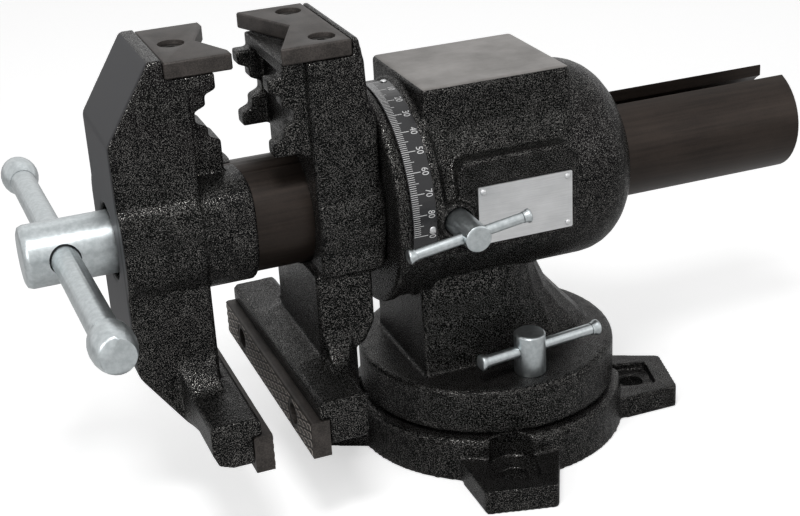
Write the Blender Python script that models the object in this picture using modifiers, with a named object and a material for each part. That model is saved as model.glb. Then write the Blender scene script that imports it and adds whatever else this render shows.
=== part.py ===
"""Swivel bench vise with a rotating head.

A cast base with four bolt lugs carries a turret that swivels on it. The turret's barrel holds
a head that turns about the barrel's axis, with stepped pipe jaws on one side and flat jaws on
the other. A slotted tube slides through the head and carries the moving jaw, and a spindle
inside the tube draws the two jaws together. Two tee-handled screws lock the turret and head.

Metres. +Z is up, the origin is on the swivel axis at the bench, and the barrel lies along X,
with the jaws at the -X end. The head is shown with its pipe jaws on top.
"""
from math import atan2, cos, hypot, pi, radians, sin, sqrt, tan

import bmesh
import bpy
from mathutils import Matrix, Vector

for leftover in list(bpy.data.objects):
    bpy.data.objects.remove(leftover, do_unlink=True)

# General clearances and counts of flats round a turned piece
GAP = 0.0003
OVERRUN = 0.003
SINK = 0.002
MERGE_DISTANCE = 0.000005
LARGE_SIDES = 64
MEDIUM_SIDES = 48
SMALL_SIDES = 24
TINY_SIDES = 12
SOCKET_SIDES = 6
CORNER_STEPS = 3
CORNER_REACH_SHARE = 0.45
FLAT_ANGLE = radians(0.5)
SOFTEN_ANGLE = radians(50)
SMOOTH_ANGLE = radians(35)

# Swivel base
BASE_RADIUS = 0.0727
BASE_FOOT_RADIUS = 0.0740
BASE_HEIGHT = 0.0233
BASE_EDGE = 0.0030
BASE_RELIEF_OUTER = 0.0660
BASE_RELIEF_INNER = 0.0220
BASE_RELIEF_DEPTH = 0.0030
LUG_COUNT = 4
POCKET_ARC_STEPS = 10
LUG_TURN = radians(-14.5)
LUG_REACH = 0.1025
LUG_END_WIDTH = 0.0365
LUG_ROOT_WIDTH = 0.0560
LUG_ROOT_RADIUS = 0.0600
LUG_THICKNESS = 0.0128
LUG_CORNER = 0.0025
LUG_HOLE_RADIUS = 0.0062
LUG_HOLE_CENTRE = 0.0815
POCKET_HALF_WIDTH = 0.0122
POCKET_INNER_REACH = 0.0640
POCKET_OUTER_REACH = 0.0925
POCKET_FLOOR = 0.0085
POCKET_CORNER = 0.0030

# Ring groove in the base for the tee nut
GROOVE_RADIUS = 0.0520
GROOVE_NECK_HALF = 0.0055
GROOVE_HALF = 0.0075
GROOVE_FLOOR = 0.0085
GROOVE_LIP = 0.0068

# Centre pivot bolt and washer
PIVOT_RADIUS = 0.0080
PIVOT_DEPTH = 0.0170
PIVOT_HEAD_RADIUS = 0.0125
PIVOT_HEAD_HEIGHT = 0.0080
PIVOT_WASHER_RADIUS = 0.0165
PIVOT_WASHER_HEIGHT = 0.0025

# Turret disc and spigot
DISC_RADIUS = 0.0687
DISC_LOW = 0.0255
DISC_TOP = 0.0492
DISC_EDGE = 0.0026
SPIGOT_RADIUS = 0.0650
TURRET_FLOOR = 0.0120

# Pedestal between disc and barrel
PEDESTAL_FRONT = -0.0480
PEDESTAL_HALF = 0.0345
PEDESTAL_STRAIGHT_END = -0.0050
PEDESTAL_BACK_LOW = 0.0610
PEDESTAL_BACK_HIGH = 0.0270
PEDESTAL_WALL = 0.0090
PEDESTAL_TOP_HALF = 0.0330
PEDESTAL_DRAW_POWER = 1.35
PEDESTAL_LEVELS = 4
PEDESTAL_ARC_STEPS = 10

# Barrel
AXIS_HEIGHT = 0.1421
BARREL_RADIUS = 0.0517
BARREL_FRONT = -0.0660
BARREL_BACK = 0.0700
DOME_CORNER = 0.0255
DOME_STEPS = 8
FLANGE_RADIUS = 0.0560
FLANGE_LENGTH = 0.0052
FLANGE_EDGE = 0.0012
SEAT_RADIUS = 0.0548
SEAT_END = -0.0455
RIDGE_RADIUS = 0.0553
RIDGE_LENGTH = 0.0025
SLEEVE_RADIUS = 0.0360
SLEEVE_END = 0.0560
DOME_BORE_MARGIN = 0.0007

# Anvil block on the barrel
ANVIL_FRONT = -0.0435
ANVIL_BACK = 0.0353
ANVIL_HALF = 0.0347
ANVIL_TOP = 0.2020
ANVIL_EDGE = 0.0016
ANVIL_CORNER = 0.0000

# Nameplate pad, plate and rivets
PAD_FRONT = -0.0345
PAD_BACK = 0.0285
PAD_DROP = 0.0182
PAD_RISE = 0.0276
PAD_REACH = 0.0540
PAD_CORNER = 0.0060
PLATE_LENGTH = 0.0502
PLATE_HEIGHT = 0.0296
PLATE_THICKNESS = 0.0008
PLATE_DROP = 0.0008
PLATE_CORNER = 0.0008
RIVET_RADIUS = 0.0015
RIVET_HEIGHT = 0.0008
RIVET_SHANK = 0.0008
RIVET_DEPTH = 0.0030
RIVET_INSET = 0.0026

# Angle scale round the barrel's front
BAND_FRONT = -0.0593
BAND_BACK = -0.0472
BAND_THICKNESS = 0.0005
BAND_START = radians(-4.0)
BAND_END = radians(101.0)
BAND_STEPS = 36
BAND_RIVET_X = -0.0495
BAND_RIVET_RADIUS = 0.0017
BAND_RIVET_ANGLES = (radians(-1.5), radians(92.4))

# Head lock: screw, pad, tee bar
HEAD_LOCK_X = -0.0369
HEAD_LOCK_HEAD_RADIUS = 0.0065
HEAD_LOCK_THREAD_RADIUS = 0.0050
HEAD_LOCK_END = 0.0820
HEAD_LOCK_SHOULDER = 0.0490
HEAD_LOCK_PAD_LENGTH = 0.0050
HEAD_LOCK_EDGE = 0.0008
LOCK_BOSS_RADIUS = 0.0094
LOCK_BOSS_REACH = 0.0580
LOCK_BOSS_EDGE = 0.0010
HEAD_BAR_RADIUS = 0.0026
HEAD_BAR_LENGTH = 0.0632
HEAD_BAR_INSET = 0.0068
HEAD_BAR_OFFSET = -0.0020
HEAD_BAR_TURN = radians(8.2)
HEAD_BAR_CAP_RADIUS = 0.0035
HEAD_BAR_CAP_LENGTH = 0.0042

# Swivel lock: screw, tee nut, tee bar
SWIVEL_LOCK_X = 0.0020
SWIVEL_LOCK_HEAD_RADIUS = 0.0081
SWIVEL_LOCK_THREAD_RADIUS = 0.0050
SWIVEL_LOCK_TOP = 0.0716
SWIVEL_LOCK_EDGE = 0.0009
TEE_NUT_RADIUS = 0.0071
SWIVEL_BAR_RADIUS = 0.0030
SWIVEL_BAR_LENGTH = 0.0718
SWIVEL_BAR_DROP = 0.0093
SWIVEL_BAR_OFFSET = 0.0064
SWIVEL_BAR_TURN = radians(7.4)
SWIVEL_BAR_CAP_RADIUS = 0.0041
SWIVEL_BAR_CAP_LENGTH = 0.0050
BAR_HOLE_MARGIN = 0.0004
BAR_SOCKET_LENGTH = 0.0022
BAR_SOCKET_RADIUS_SHARE = 0.55
BAR_CAP_WAIST_SHARE = 0.35
BAR_CAP_NECK_SHARE = 1.1
BAR_CAP_EDGE = 0.0006

# Lock groove round the sleeve
LOCK_GROOVE_DEPTH = 0.0015
LOCK_GROOVE_HALF = 0.0062

# Rotating head: jaw block, hub, leg and foot
HEAD_HALF = 0.0375
HEAD_FACE = -0.0998
HEAD_BACK = -0.0675
HUB_RADIUS = 0.0400
HUB_EDGE = 0.0020
HUB_PROUD = 0.0004
SHELF_FACE = -0.1100
SHELF_DROP = 0.0061
BLOCK_FACE = -0.1037
BLOCK_FACE_LOW = 0.1790
BLOCK_LOW = 0.1160
BLOCK_BACK_HIGH = 0.1960
BLOCK_BACK_MID = -0.0718
BLOCK_BACK_MID_DROP = 0.0041
BLOCK_RELIEF_HEIGHT = 0.2025
LOCK_SWING_GAP = 0.0006
CAP_SEAT = 0.2251
LIP_RISE = 0.0085
LIP_BACK = -0.0742
LIP_ROUND = 0.0022
BLOCK_EDGE = 0.0016
LEG_HALF = 0.0350
LEG_FRONT = -0.1030
LEG_BACK = -0.0740
LEG_TAPER_HEIGHT = 0.0880
LEG_KNEE = -0.0795
LEG_KNEE_HEIGHT = 0.0775
FOOT_TOP = 0.0715
FOOT_LOW = 0.0488
FOOT_HALF = 0.0747
FOOT_BACK = -0.0942
FOOT_ROUND = 0.0085
REAR_FOOT_ROUND = 0.0030
LEDGE_DEPTH = 0.0046
LEDGE_ROUND = 0.0020
FLARE_REACH = 0.0170
FLARE_RISE = 0.0190
FLARE_LEAST = 0.0004
FLARE_COVE_SHARE = 0.15
FLARE_POWER = 2.2
FLARE_STEPS = 6
REAR_FLARE_BACK = -0.0840
MOVING_FLARE_FRONT = -0.1745
LEG_DIP = 0.0035

# Stepped vee of the pipe jaws
VEE_DROP = 0.0261
VEE_STEP = 0.0056
VEE_FLAT = 0.0027
VEE_RISER = 0.0024
VEE_TREAD = 0.0050
VEE_TIP = 0.0066
SHELF_SLOPE = 0.0030
RIB_TIP = -0.1171
RIB_OUTER = 0.0310
RIB_INNER = 0.0212
RIB_EDGE = 0.0006

# Pipe jaw caps, their screws
CAP_THICKNESS = 0.0082
CAP_EDGE = 0.0007
REAR_CAP_FRONT = -0.1114
REAR_CAP_BACK = -0.0776
REAR_CAP_HALF = 0.0375
REAR_CAP_VEE_DEPTH = 0.0155
REAR_CAP_TIP = 0.0012
REAR_CAP_HOLE_X = -0.0882
REAR_CAP_HOLE_Y = 0.0255
MOVING_CAP_FRONT = -0.1323
MOVING_CAP_BACK = -0.1639
MOVING_CAP_HALF = 0.0301
MOVING_CAP_VEE_DEPTH = 0.0096
MOVING_CAP_TIP = 0.0061
MOVING_CAP_HOLE_X = -0.1531
CAP_BORE_RADIUS = 0.0064
CAP_BORE_DEPTH = 0.0055
SCREW_HEAD_RADIUS = 0.0060
SCREW_HEAD_HEIGHT = 0.0032
SCREW_RADIUS = 0.0038
SCREW_LENGTH = 0.0160
SCREW_CLEARANCE = 0.0004
SOCKET_WIDTH_SHARE = 0.48
SOCKET_DEPTH_SHARE = 0.48

# Flat jaw plates and their screws
JAW_PLATE_HALF = 0.0750
JAW_PLATE_THICKNESS = 0.0096
JAW_PLATE_LOW = 0.0433
JAW_PLATE_TOP = 0.0623
JAW_PLATE_EDGE = 0.0018
JAW_PLATE_HOLE_Y = 0.0450
PLATE_BORE_RADIUS = 0.0056
PLATE_BORE_DEPTH = 0.0066
PLATE_SCREW_HEAD_RADIUS = 0.0052
REAR_PLATE_FACE = -0.1237
JAW_OPENING = 0.0181

# Moving jaw: body, boss, collar, leg and foot
JAW_HALF = 0.0301
JAW_FRONT = -0.1935
JAW_BACK = -0.1535
JAW_LIP_RISE = 0.0094
JAW_LIP_FRONT = -0.1712
JAW_SLOPE_LOW = 0.1985
JAW_SHELF_FACE = -0.1410
JAW_SHELF_DROP = 0.0052
JAW_EDGE = 0.0012
JAW_LIP_ROUND = 0.0026
JAW_BEND_ROUND = 0.0060
JAW_TURN_HEIGHT = 0.0825
JAW_TURN_ROUND = 0.0150
JAW_TOE = -0.1712
JAW_TOE_HEIGHT = 0.0503
JAW_TOOTH_HALF = 0.0105
JAW_TOOTH_TIP = -0.1365
JAW_TOOTH_FOOT = 0.1640
BOSS_BACK = -0.1550
BOSS_HALF = 0.0362
BOSS_RISE = 0.0300
BOSS_FALL = 0.0305
BOSS_TOP_POWER = 4.0
BOSS_LOW_POWER = 2.2
BOSS_STEPS = 32
COLLAR_FACE = -0.1290
COLLAR_SHARE = 0.96
JAW_FOOT_FRONT = -0.1712
JAW_WALL_FACE = -0.1750
COUNTERBORE_RADIUS = 0.0188
COUNTERBORE_DEPTH = 0.0052

# Slide tube
TUBE_RADIUS = 0.0281
TUBE_WALL = 0.0056
TUBE_END = 0.1755
TUBE_SLOT_HALF = 0.0105
TUBE_SLOT_START = -0.0900
TUBE_EDGE = 0.0005
GRUB_RADIUS = 0.0030
GRUB_LENGTH = 0.0065
GRUB_BACK_X = -0.1420
GRUB_FRONT_X = -0.1660

# Spindle, thrust washer, collar, pin and nut
SPINDLE_HEAD_RADIUS = 0.0155
SPINDLE_END = -0.2356
SPINDLE_ROUND = 0.0032
SPINDLE_THRUST_STEP = 0.0016
JOURNAL_RADIUS = 0.0100
THREAD_RADIUS = 0.0095
THREAD_ROOT_RADIUS = 0.0078
THREAD_START = -0.1600
THREAD_END = 0.1000
THREAD_RELIEF = 0.0040
COLLAR_RING_RADIUS = 0.0165
COLLAR_RING_LENGTH = 0.0085
COLLAR_PIN_RADIUS = 0.0022
THRUST_WASHER_THICKNESS = 0.0016
NUT_RADIUS = 0.0215
NUT_FRONT = -0.0700
NUT_BACK = -0.0360
NUT_KEY_HALF = 0.0095
NUT_SCREW_FRONT_X = -0.0600
NUT_SCREW_BACK_X = -0.0480
NUT_SCREW_RADIUS = 0.0022
NUT_SCREW_HEAD_RADIUS = 0.0040
NUT_SCREW_HEAD_HEIGHT = 0.0026
NUT_SCREW_LENGTH = 0.0120

# Spindle handle and its knobs
HANDLE_X = -0.2169
HANDLE_TILT = radians(-3.58)
HANDLE_RADIUS = 0.0068
HANDLE_HOLE_MARGIN = 0.0008
HANDLE_SPAN = 0.1310
HANDLE_OFFSET = 0.0050
KNOB_RADIUS = 0.0100
KNOB_CURVE = 0.0188
KNOB_FLAT_RADIUS = 0.0076
KNOB_STEPS = 9
KNOB_TENON_RADIUS = 0.0040
KNOB_TENON_LENGTH = 0.0080

# Finishes: colour, metallic, roughness
FINISHES = {
    "hammered_enamel": ((0.022, 0.022, 0.024), 0.1, 0.38),
    "black_oxide": ((0.045, 0.038, 0.034), 0.8, 0.45),
    "phosphate": ((0.115, 0.100, 0.090), 0.7, 0.55),
    "zinc": ((0.62, 0.64, 0.65), 1.0, 0.28),
    "aluminium": ((0.70, 0.71, 0.72), 1.0, 0.35),
    "black_band": ((0.018, 0.018, 0.020), 0.2, 0.35),
    "bronze": ((0.45, 0.30, 0.12), 1.0, 0.40),
    "steel": ((0.38, 0.38, 0.38), 1.0, 0.35),
}

parts = bpy.data.collections.new("swivel_bench_vise")
cutters = bpy.data.collections.new("cutters")
bpy.context.scene.collection.children.link(parts)
bpy.context.scene.collection.children.link(cutters)


def finish(name):
    """The material of one finish, made once."""
    material = bpy.data.materials.get(name)
    if material is None:
        colour, metallic, roughness = FINISHES[name]
        material = bpy.data.materials.new(name)
        material.use_nodes = True
        shader = material.node_tree.nodes["Principled BSDF"]
        shader.inputs["Base Color"].default_value = (*colour, 1.0)
        shader.inputs["Metallic"].default_value = metallic
        shader.inputs["Roughness"].default_value = roughness
        material.diffuse_color = (*colour, 1.0)
    return material


def frame(name, location, parent=None):
    """An empty that carries the pieces of one moving body, on its joint's axis."""
    empty = bpy.data.objects.new(name, None)
    parts.objects.link(empty)
    empty.location = location
    if parent is not None:
        empty.parent = parent
        empty.location = Vector(location) - Vector(parent.matrix_world.translation)
    bpy.context.view_layer.update()
    return empty


# Turns that lay a shape's own Z along a world axis
AXIS_TURNS = {
    "X": Matrix(((0, 0, 1), (1, 0, 0), (0, 1, 0))).to_4x4(),
    "Y": Matrix(((1, 0, 0), (0, 0, -1), (0, 1, 0))).to_4x4(),
    "Z": Matrix.Identity(4),
}


def held(name, mesh, matrix):
    """A new object for a mesh, in the cutters' collection until it is named as a part."""
    item = bpy.data.objects.new(name, mesh)
    item.matrix_world = matrix
    cutters.objects.link(item)
    item.hide_render = True
    item.display_type = "WIRE"
    return item


def as_part(item, finish_name, parent):
    """Make an object a visible part with its finish, carried by a body's frame."""
    cutters.objects.unlink(item)
    parts.objects.link(item)
    item.hide_render = False
    item.display_type = "TEXTURED"
    item.data.materials.clear()
    item.data.materials.append(finish(finish_name))
    item.data.shade_smooth()
    item.data.set_sharp_from_angle(angle=SMOOTH_ANGLE)
    world = item.matrix_world.copy()
    item.parent = parent
    bpy.context.view_layer.update()
    item.matrix_world = world
    return item


def plate(name, outline, low, high, axis):
    """A flat outline extruded from low to high along a world axis.

    Along Y the outline is (x, z), along X it is (y, z) and along Z it is (x, y).
    """
    curve = bpy.data.curves.new(name, "CURVE")
    curve.dimensions = "2D"
    curve.fill_mode = "BOTH"
    curve.extrude = (high - low) / 2
    spline = curve.splines.new("POLY")
    spline.points.add(len(outline) - 1)
    for point, (across, up) in zip(spline.points, outline):
        point.co = (across, up, 0, 1)
    spline.use_cyclic_u = True
    guide = bpy.data.objects.new(name, curve)
    cutters.objects.link(guide)
    middle = (low + high) / 2
    slide = {"X": (middle, 0, 0), "Y": (0, middle, 0), "Z": (0, 0, middle)}[axis]
    place = Matrix.Translation(slide) @ AXIS_TURNS[axis]
    graph = bpy.context.evaluated_depsgraph_get()
    mesh = bpy.data.meshes.new_from_object(guide.evaluated_get(graph))
    bpy.data.objects.remove(guide, do_unlink=True)
    shape = bmesh.new()
    shape.from_mesh(mesh)
    bmesh.ops.remove_doubles(shape, verts=shape.verts, dist=MERGE_DISTANCE)
    bmesh.ops.dissolve_limit(shape, angle_limit=FLAT_ANGLE, verts=shape.verts, edges=shape.edges)
    bmesh.ops.recalc_face_normals(shape, faces=shape.faces)
    shape.to_mesh(mesh)
    shape.free()
    return held(name, mesh, place)


def turned(name, profile, sides, place):
    """A turned piece: a profile of (radius, height), from the top down its outer side."""
    mesh = bpy.data.meshes.new(name)
    loop = profile[0][0] > 0
    edges = [(at, at + 1) for at in range(len(profile) - 1)]
    if loop:
        edges.append((len(profile) - 1, 0))
    mesh.from_pydata([(radius, 0, height) for radius, height in profile], edges, [])
    item = held(name, mesh, place)
    screw = item.modifiers.new("turn", "SCREW")
    screw.axis = "Z"
    screw.steps = sides
    screw.render_steps = sides
    screw.use_merge_vertices = True
    screw.merge_threshold = MERGE_DISTANCE
    screw.use_smooth_shade = True
    return item


def rod(name, radius, start, end, sides, edge=0):
    """A round bar between two points, its ends chamfered by edge."""
    start = Vector(start)
    end = Vector(end)
    run = end - start
    turn = run.to_track_quat("Z", "Y").to_matrix().to_4x4()
    length = run.length
    profile = [(0, length), (radius, length), (radius, 0), (0, 0)]
    if edge > 0:
        profile = [
            (0, length),
            (radius - edge, length),
            (radius, length - edge),
            (radius, edge),
            (radius - edge, 0),
            (0, 0),
        ]
    return turned(name, profile, sides, Matrix.Translation(start) @ turn)


def block(name, low, high):
    """A box between two corners."""
    shape = bmesh.new()
    bmesh.ops.create_cube(shape, size=1)
    size = [b - a for a, b in zip(low, high)]
    bmesh.ops.scale(shape, vec=size, verts=shape.verts)
    mesh = bpy.data.meshes.new(name)
    shape.to_mesh(mesh)
    shape.free()
    middle = [(a + b) / 2 for a, b in zip(low, high)]
    return held(name, mesh, Matrix.Translation(middle))


def loft(name, sections):
    """A closed skin over rings of points, each ring with as many points as the next."""
    shape = bmesh.new()
    rings = [[shape.verts.new(point) for point in ring] for ring in sections]
    count = len(rings[0])
    for near, far in zip(rings, rings[1:]):
        for at in range(count):
            following = (at + 1) % count
            shape.faces.new((near[at], near[following], far[following], far[at]))
    shape.faces.new(reversed(rings[0]))
    shape.faces.new(rings[-1])
    bmesh.ops.recalc_face_normals(shape, faces=shape.faces)
    mesh = bpy.data.meshes.new(name)
    shape.to_mesh(mesh)
    shape.free()
    return held(name, mesh, Matrix.Identity(4))


def soften(item, width):
    """Round the edges of a piece."""
    bevel = item.modifiers.new("soften", "BEVEL")
    bevel.width = width
    bevel.segments = 1
    bevel.limit_method = "ANGLE"
    bevel.angle_limit = SOFTEN_ANGLE
    return item


def combine(item, other, operation):
    step = item.modifiers.new(other.name, "BOOLEAN")
    step.operation = operation
    step.solver = "EXACT"
    step.object = other
    return item


def join(item, *others):
    for other in others:
        combine(item, other, "UNION")
    return item


def cut(item, *others):
    for other in others:
        combine(item, other, "DIFFERENCE")
    return item


def rounded(corners):
    """An outline whose corners (u, v, radius) are turned into arcs."""
    outline = []
    count = len(corners)
    for at, (u, v, radius) in enumerate(corners):
        corner = Vector((u, v))
        before = Vector(corners[at - 1][:2]) - corner
        after = Vector(corners[(at + 1) % count][:2]) - corner
        if radius <= 0:
            outline.append((u, v))
            continue
        half = before.angle(after) / 2
        room = min(before.length, after.length) * CORNER_REACH_SHARE
        reach = min(radius / tan(half), room)
        radius = reach * tan(half)
        middle = (before.normalized() + after.normalized()).normalized()
        centre = corner + middle * hypot(reach, radius)
        first = corner + before.normalized() * reach - centre
        last = corner + after.normalized() * reach - centre
        start = atan2(first.y, first.x)
        sweep = atan2(last.y, last.x) - start
        sweep = (sweep + pi) % (2 * pi) - pi
        for step in range(CORNER_STEPS + 1):
            angle = start + sweep * step / CORNER_STEPS
            outline.append((centre.x + radius * cos(angle), centre.y + radius * sin(angle)))
    return outline


def along_axis(x, y=0, rise=0):
    """A point given along the barrel's axis."""
    return (x, y, AXIS_HEIGHT + rise)


# Turned pieces on the barrel's axis: their own Z runs along +X
BARREL_PLACE = Matrix.Translation(along_axis(0)) @ AXIS_TURNS["X"]

# Bores are turned by half a flat, so that their corners miss the corners of what they cut
BORE_PLACE = BARREL_PLACE @ Matrix.Rotation(pi / LARGE_SIDES / 2, 4, "Z")


def screw_piece(name, seat, outward, head_radius, head_height, radius, length, sides):
    """A socket-head screw whose head's underside is at seat, standing along outward."""
    outward = Vector(outward).normalized()
    turn = outward.to_track_quat("Z", "Y").to_matrix().to_4x4()
    place = Matrix.Translation(seat) @ turn
    profile = [
        (0, head_height),
        (head_radius, head_height),
        (head_radius, 0),
        (radius, 0),
        (radius, -length),
        (0, -length),
    ]
    piece = turned(name, profile, sides, place)
    socket = rod(
        name + "_socket",
        head_radius * SOCKET_WIDTH_SHARE,
        Vector(seat) + outward * head_height * (1 - SOCKET_DEPTH_SHARE),
        Vector(seat) + outward * (head_height + OVERRUN),
        SOCKET_SIDES,
    )
    return cut(piece, socket)


def stepped_hole(name, shoulder, outward, wide, narrow, rise, depth, sides):
    """A cutter: a wide bore from its shoulder out by rise, a narrow one in by depth."""
    turn = Vector(outward).to_track_quat("Z", "Y").to_matrix().to_4x4()
    half_flat = Matrix.Rotation(pi / sides / 2, 4, "Z")
    profile = [(0, rise), (wide, rise), (wide, 0), (narrow, 0), (narrow, -depth), (0, -depth)]
    return turned(name, profile, sides, Matrix.Translation(shoulder) @ turn @ half_flat)


def screw_hole(name, seat, outward):
    """A blind screw hole into a casting, from its seat inward."""
    outward = Vector(outward)
    seat = Vector(seat)
    return rod(
        name,
        SCREW_RADIUS + SCREW_CLEARANCE,
        seat - outward * (SCREW_LENGTH + GAP),
        seat + outward * OVERRUN,
        TINY_SIDES,
    )


# Frames of the moving bodies, each on its joint's axis
lock_y = -sqrt(GROOVE_RADIUS ** 2 - SWIVEL_LOCK_X ** 2)
base_frame = frame("base_frame", (0, 0, 0))
turret_frame = frame("turret_frame", (0, 0, 0), base_frame)
head_frame = frame("head_frame", along_axis(0), turret_frame)
jaw_frame = frame("moving_jaw_frame", along_axis(JAW_FRONT), head_frame)
spindle_frame = frame("spindle_frame", along_axis(SPINDLE_END), jaw_frame)
handle_frame = frame("handle_frame", along_axis(HANDLE_X), spindle_frame)
head_lock_frame = frame("head_lock_frame", along_axis(HEAD_LOCK_X), turret_frame)
head_bar_frame = frame("head_lock_bar_frame", along_axis(HEAD_LOCK_X), head_lock_frame)
swivel_lock_frame = frame("swivel_lock_frame", (SWIVEL_LOCK_X, lock_y, DISC_TOP), turret_frame)
swivel_bar_frame = frame(
    "swivel_lock_bar_frame", (SWIVEL_LOCK_X, lock_y, DISC_TOP), swivel_lock_frame
)


# Swivel base: a ring with four lugs, a tee groove and a blind centre bore
def make_base():
    base = turned(
        "swivel_base",
        [
            (0, BASE_HEIGHT),
            (BASE_RADIUS - BASE_EDGE, BASE_HEIGHT),
            (BASE_RADIUS - BASE_EDGE * (1 - sin(pi / 4)), BASE_HEIGHT - BASE_EDGE * (1 - cos(pi / 4))),
            (BASE_RADIUS, BASE_HEIGHT - BASE_EDGE),
            (BASE_FOOT_RADIUS, 0),
            (BASE_RELIEF_OUTER, 0),
            (BASE_RELIEF_OUTER, BASE_RELIEF_DEPTH),
            (BASE_RELIEF_INNER, BASE_RELIEF_DEPTH),
            (BASE_RELIEF_INNER, 0),
            (0, 0),
        ],
        LARGE_SIDES,
        Matrix.Identity(4),
    )
    lug_outline = rounded([
        (LUG_ROOT_RADIUS, -LUG_ROOT_WIDTH / 2, 0),
        (LUG_REACH, -LUG_END_WIDTH / 2, LUG_CORNER),
        (LUG_REACH, LUG_END_WIDTH / 2, LUG_CORNER),
        (LUG_ROOT_RADIUS, LUG_ROOT_WIDTH / 2, 0),
    ])
    arch_centre = POCKET_INNER_REACH + POCKET_HALF_WIDTH
    arch = [
        (arch_centre - POCKET_HALF_WIDTH * sin(angle), -POCKET_HALF_WIDTH * cos(angle))
        for angle in [pi * step / POCKET_ARC_STEPS for step in range(POCKET_ARC_STEPS + 1)]
    ]
    outer_end = rounded([
        (arch_centre, POCKET_HALF_WIDTH, 0),
        (POCKET_OUTER_REACH, POCKET_HALF_WIDTH, POCKET_CORNER),
        (POCKET_OUTER_REACH, -POCKET_HALF_WIDTH, POCKET_CORNER),
        (arch_centre, -POCKET_HALF_WIDTH, 0),
    ])
    pocket_outline = arch + outer_end[1:-1]
    pockets = []
    for at in range(LUG_COUNT):
        turn = Matrix.Rotation(LUG_TURN + 2 * pi * at / LUG_COUNT, 4, "Z")
        lug = plate("base_lug_%d" % at, lug_outline, 0, LUG_THICKNESS, "Z")
        lug.matrix_world = turn @ lug.matrix_world
        join(base, lug)
        pocket = plate(
            "lug_pocket_%d" % at, pocket_outline, POCKET_FLOOR, BASE_HEIGHT + OVERRUN, "Z"
        )
        pocket.matrix_world = turn @ pocket.matrix_world
        hole = rod(
            "lug_hole_%d" % at,
            LUG_HOLE_RADIUS,
            turn @ Vector((LUG_HOLE_CENTRE, 0, -OVERRUN)),
            turn @ Vector((LUG_HOLE_CENTRE, 0, LUG_THICKNESS + OVERRUN)),
            SMALL_SIDES,
        )
        pockets += [pocket, hole]
    groove_ceiling = BASE_HEIGHT - GROOVE_LIP
    groove = turned(
        "tee_groove",
        [
            (GROOVE_RADIUS - GROOVE_NECK_HALF, BASE_HEIGHT + OVERRUN),
            (GROOVE_RADIUS + GROOVE_NECK_HALF, BASE_HEIGHT + OVERRUN),
            (GROOVE_RADIUS + GROOVE_NECK_HALF, groove_ceiling),
            (GROOVE_RADIUS + GROOVE_HALF, groove_ceiling),
            (GROOVE_RADIUS + GROOVE_HALF, GROOVE_FLOOR),
            (GROOVE_RADIUS - GROOVE_HALF, GROOVE_FLOOR),
            (GROOVE_RADIUS - GROOVE_HALF, groove_ceiling),
            (GROOVE_RADIUS - GROOVE_NECK_HALF, groove_ceiling),
        ],
        LARGE_SIDES,
        Matrix.Identity(4),
    )
    bore = rod(
        "pivot_bore",
        PIVOT_RADIUS + GAP,
        (0, 0, BASE_HEIGHT - PIVOT_DEPTH),
        (0, 0, BASE_HEIGHT + OVERRUN),
        SMALL_SIDES,
    )
    cut(base, groove, bore, *pockets)
    as_part(base, "hammered_enamel", base_frame)


# Centre pivot: a shoulder bolt from inside the turret into the base
def make_pivot():
    floor_top = BASE_HEIGHT + GAP + TURRET_FLOOR
    washer_low = floor_top + GAP
    washer_high = washer_low + PIVOT_WASHER_HEIGHT
    washer = turned(
        "pivot_washer",
        [
            (PIVOT_RADIUS + GAP, washer_high),
            (PIVOT_WASHER_RADIUS, washer_high),
            (PIVOT_WASHER_RADIUS, washer_low),
            (PIVOT_RADIUS + GAP, washer_low),
        ],
        SMALL_SIDES,
        Matrix.Identity(4),
    )
    as_part(washer, "zinc", base_frame)
    head_low = washer_high + GAP
    bolt = turned(
        "pivot_bolt",
        [
            (0, head_low + PIVOT_HEAD_HEIGHT),
            (PIVOT_HEAD_RADIUS, head_low + PIVOT_HEAD_HEIGHT),
            (PIVOT_HEAD_RADIUS, head_low),
            (PIVOT_RADIUS, head_low),
            (PIVOT_RADIUS, BASE_HEIGHT - PIVOT_DEPTH + GAP),
            (0, BASE_HEIGHT - PIVOT_DEPTH + GAP),
        ],
        SMALL_SIDES,
        Matrix.Identity(4),
    )
    as_part(bolt, "zinc", base_frame)


def pedestal_ring(level, back, front, half, straight_end):
    """One level of the pedestal: square in front, drawn to a rounded back."""
    ring = [(front, -half, level)]
    for step in range(PEDESTAL_ARC_STEPS + 1):
        angle = -pi / 2 + pi * step / PEDESTAL_ARC_STEPS
        across = straight_end + (back - straight_end) * cos(angle)
        ring.append((across, half * sin(angle), level))
    ring.append((front, half, level))
    return ring


def pedestal_loft(name, low, high, inset):
    """The tapering pedestal, or with an inset the hollow inside it."""
    rings = []
    barrel_low = AXIS_HEIGHT - BARREL_RADIUS
    for step in range(PEDESTAL_LEVELS + 1):
        level = low + (high - low) * step / PEDESTAL_LEVELS
        share = min(max((level - DISC_TOP) / (barrel_low - DISC_TOP), 0), 1)
        draw = (1 - share) ** PEDESTAL_DRAW_POWER
        back = PEDESTAL_BACK_HIGH + (PEDESTAL_BACK_LOW - PEDESTAL_BACK_HIGH) * draw
        half = PEDESTAL_TOP_HALF + (PEDESTAL_HALF - PEDESTAL_TOP_HALF) * draw
        rings.append(pedestal_ring(
            level, back - inset, PEDESTAL_FRONT + inset, half - inset, PEDESTAL_STRAIGHT_END
        ))
    return loft(name, rings)


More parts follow.
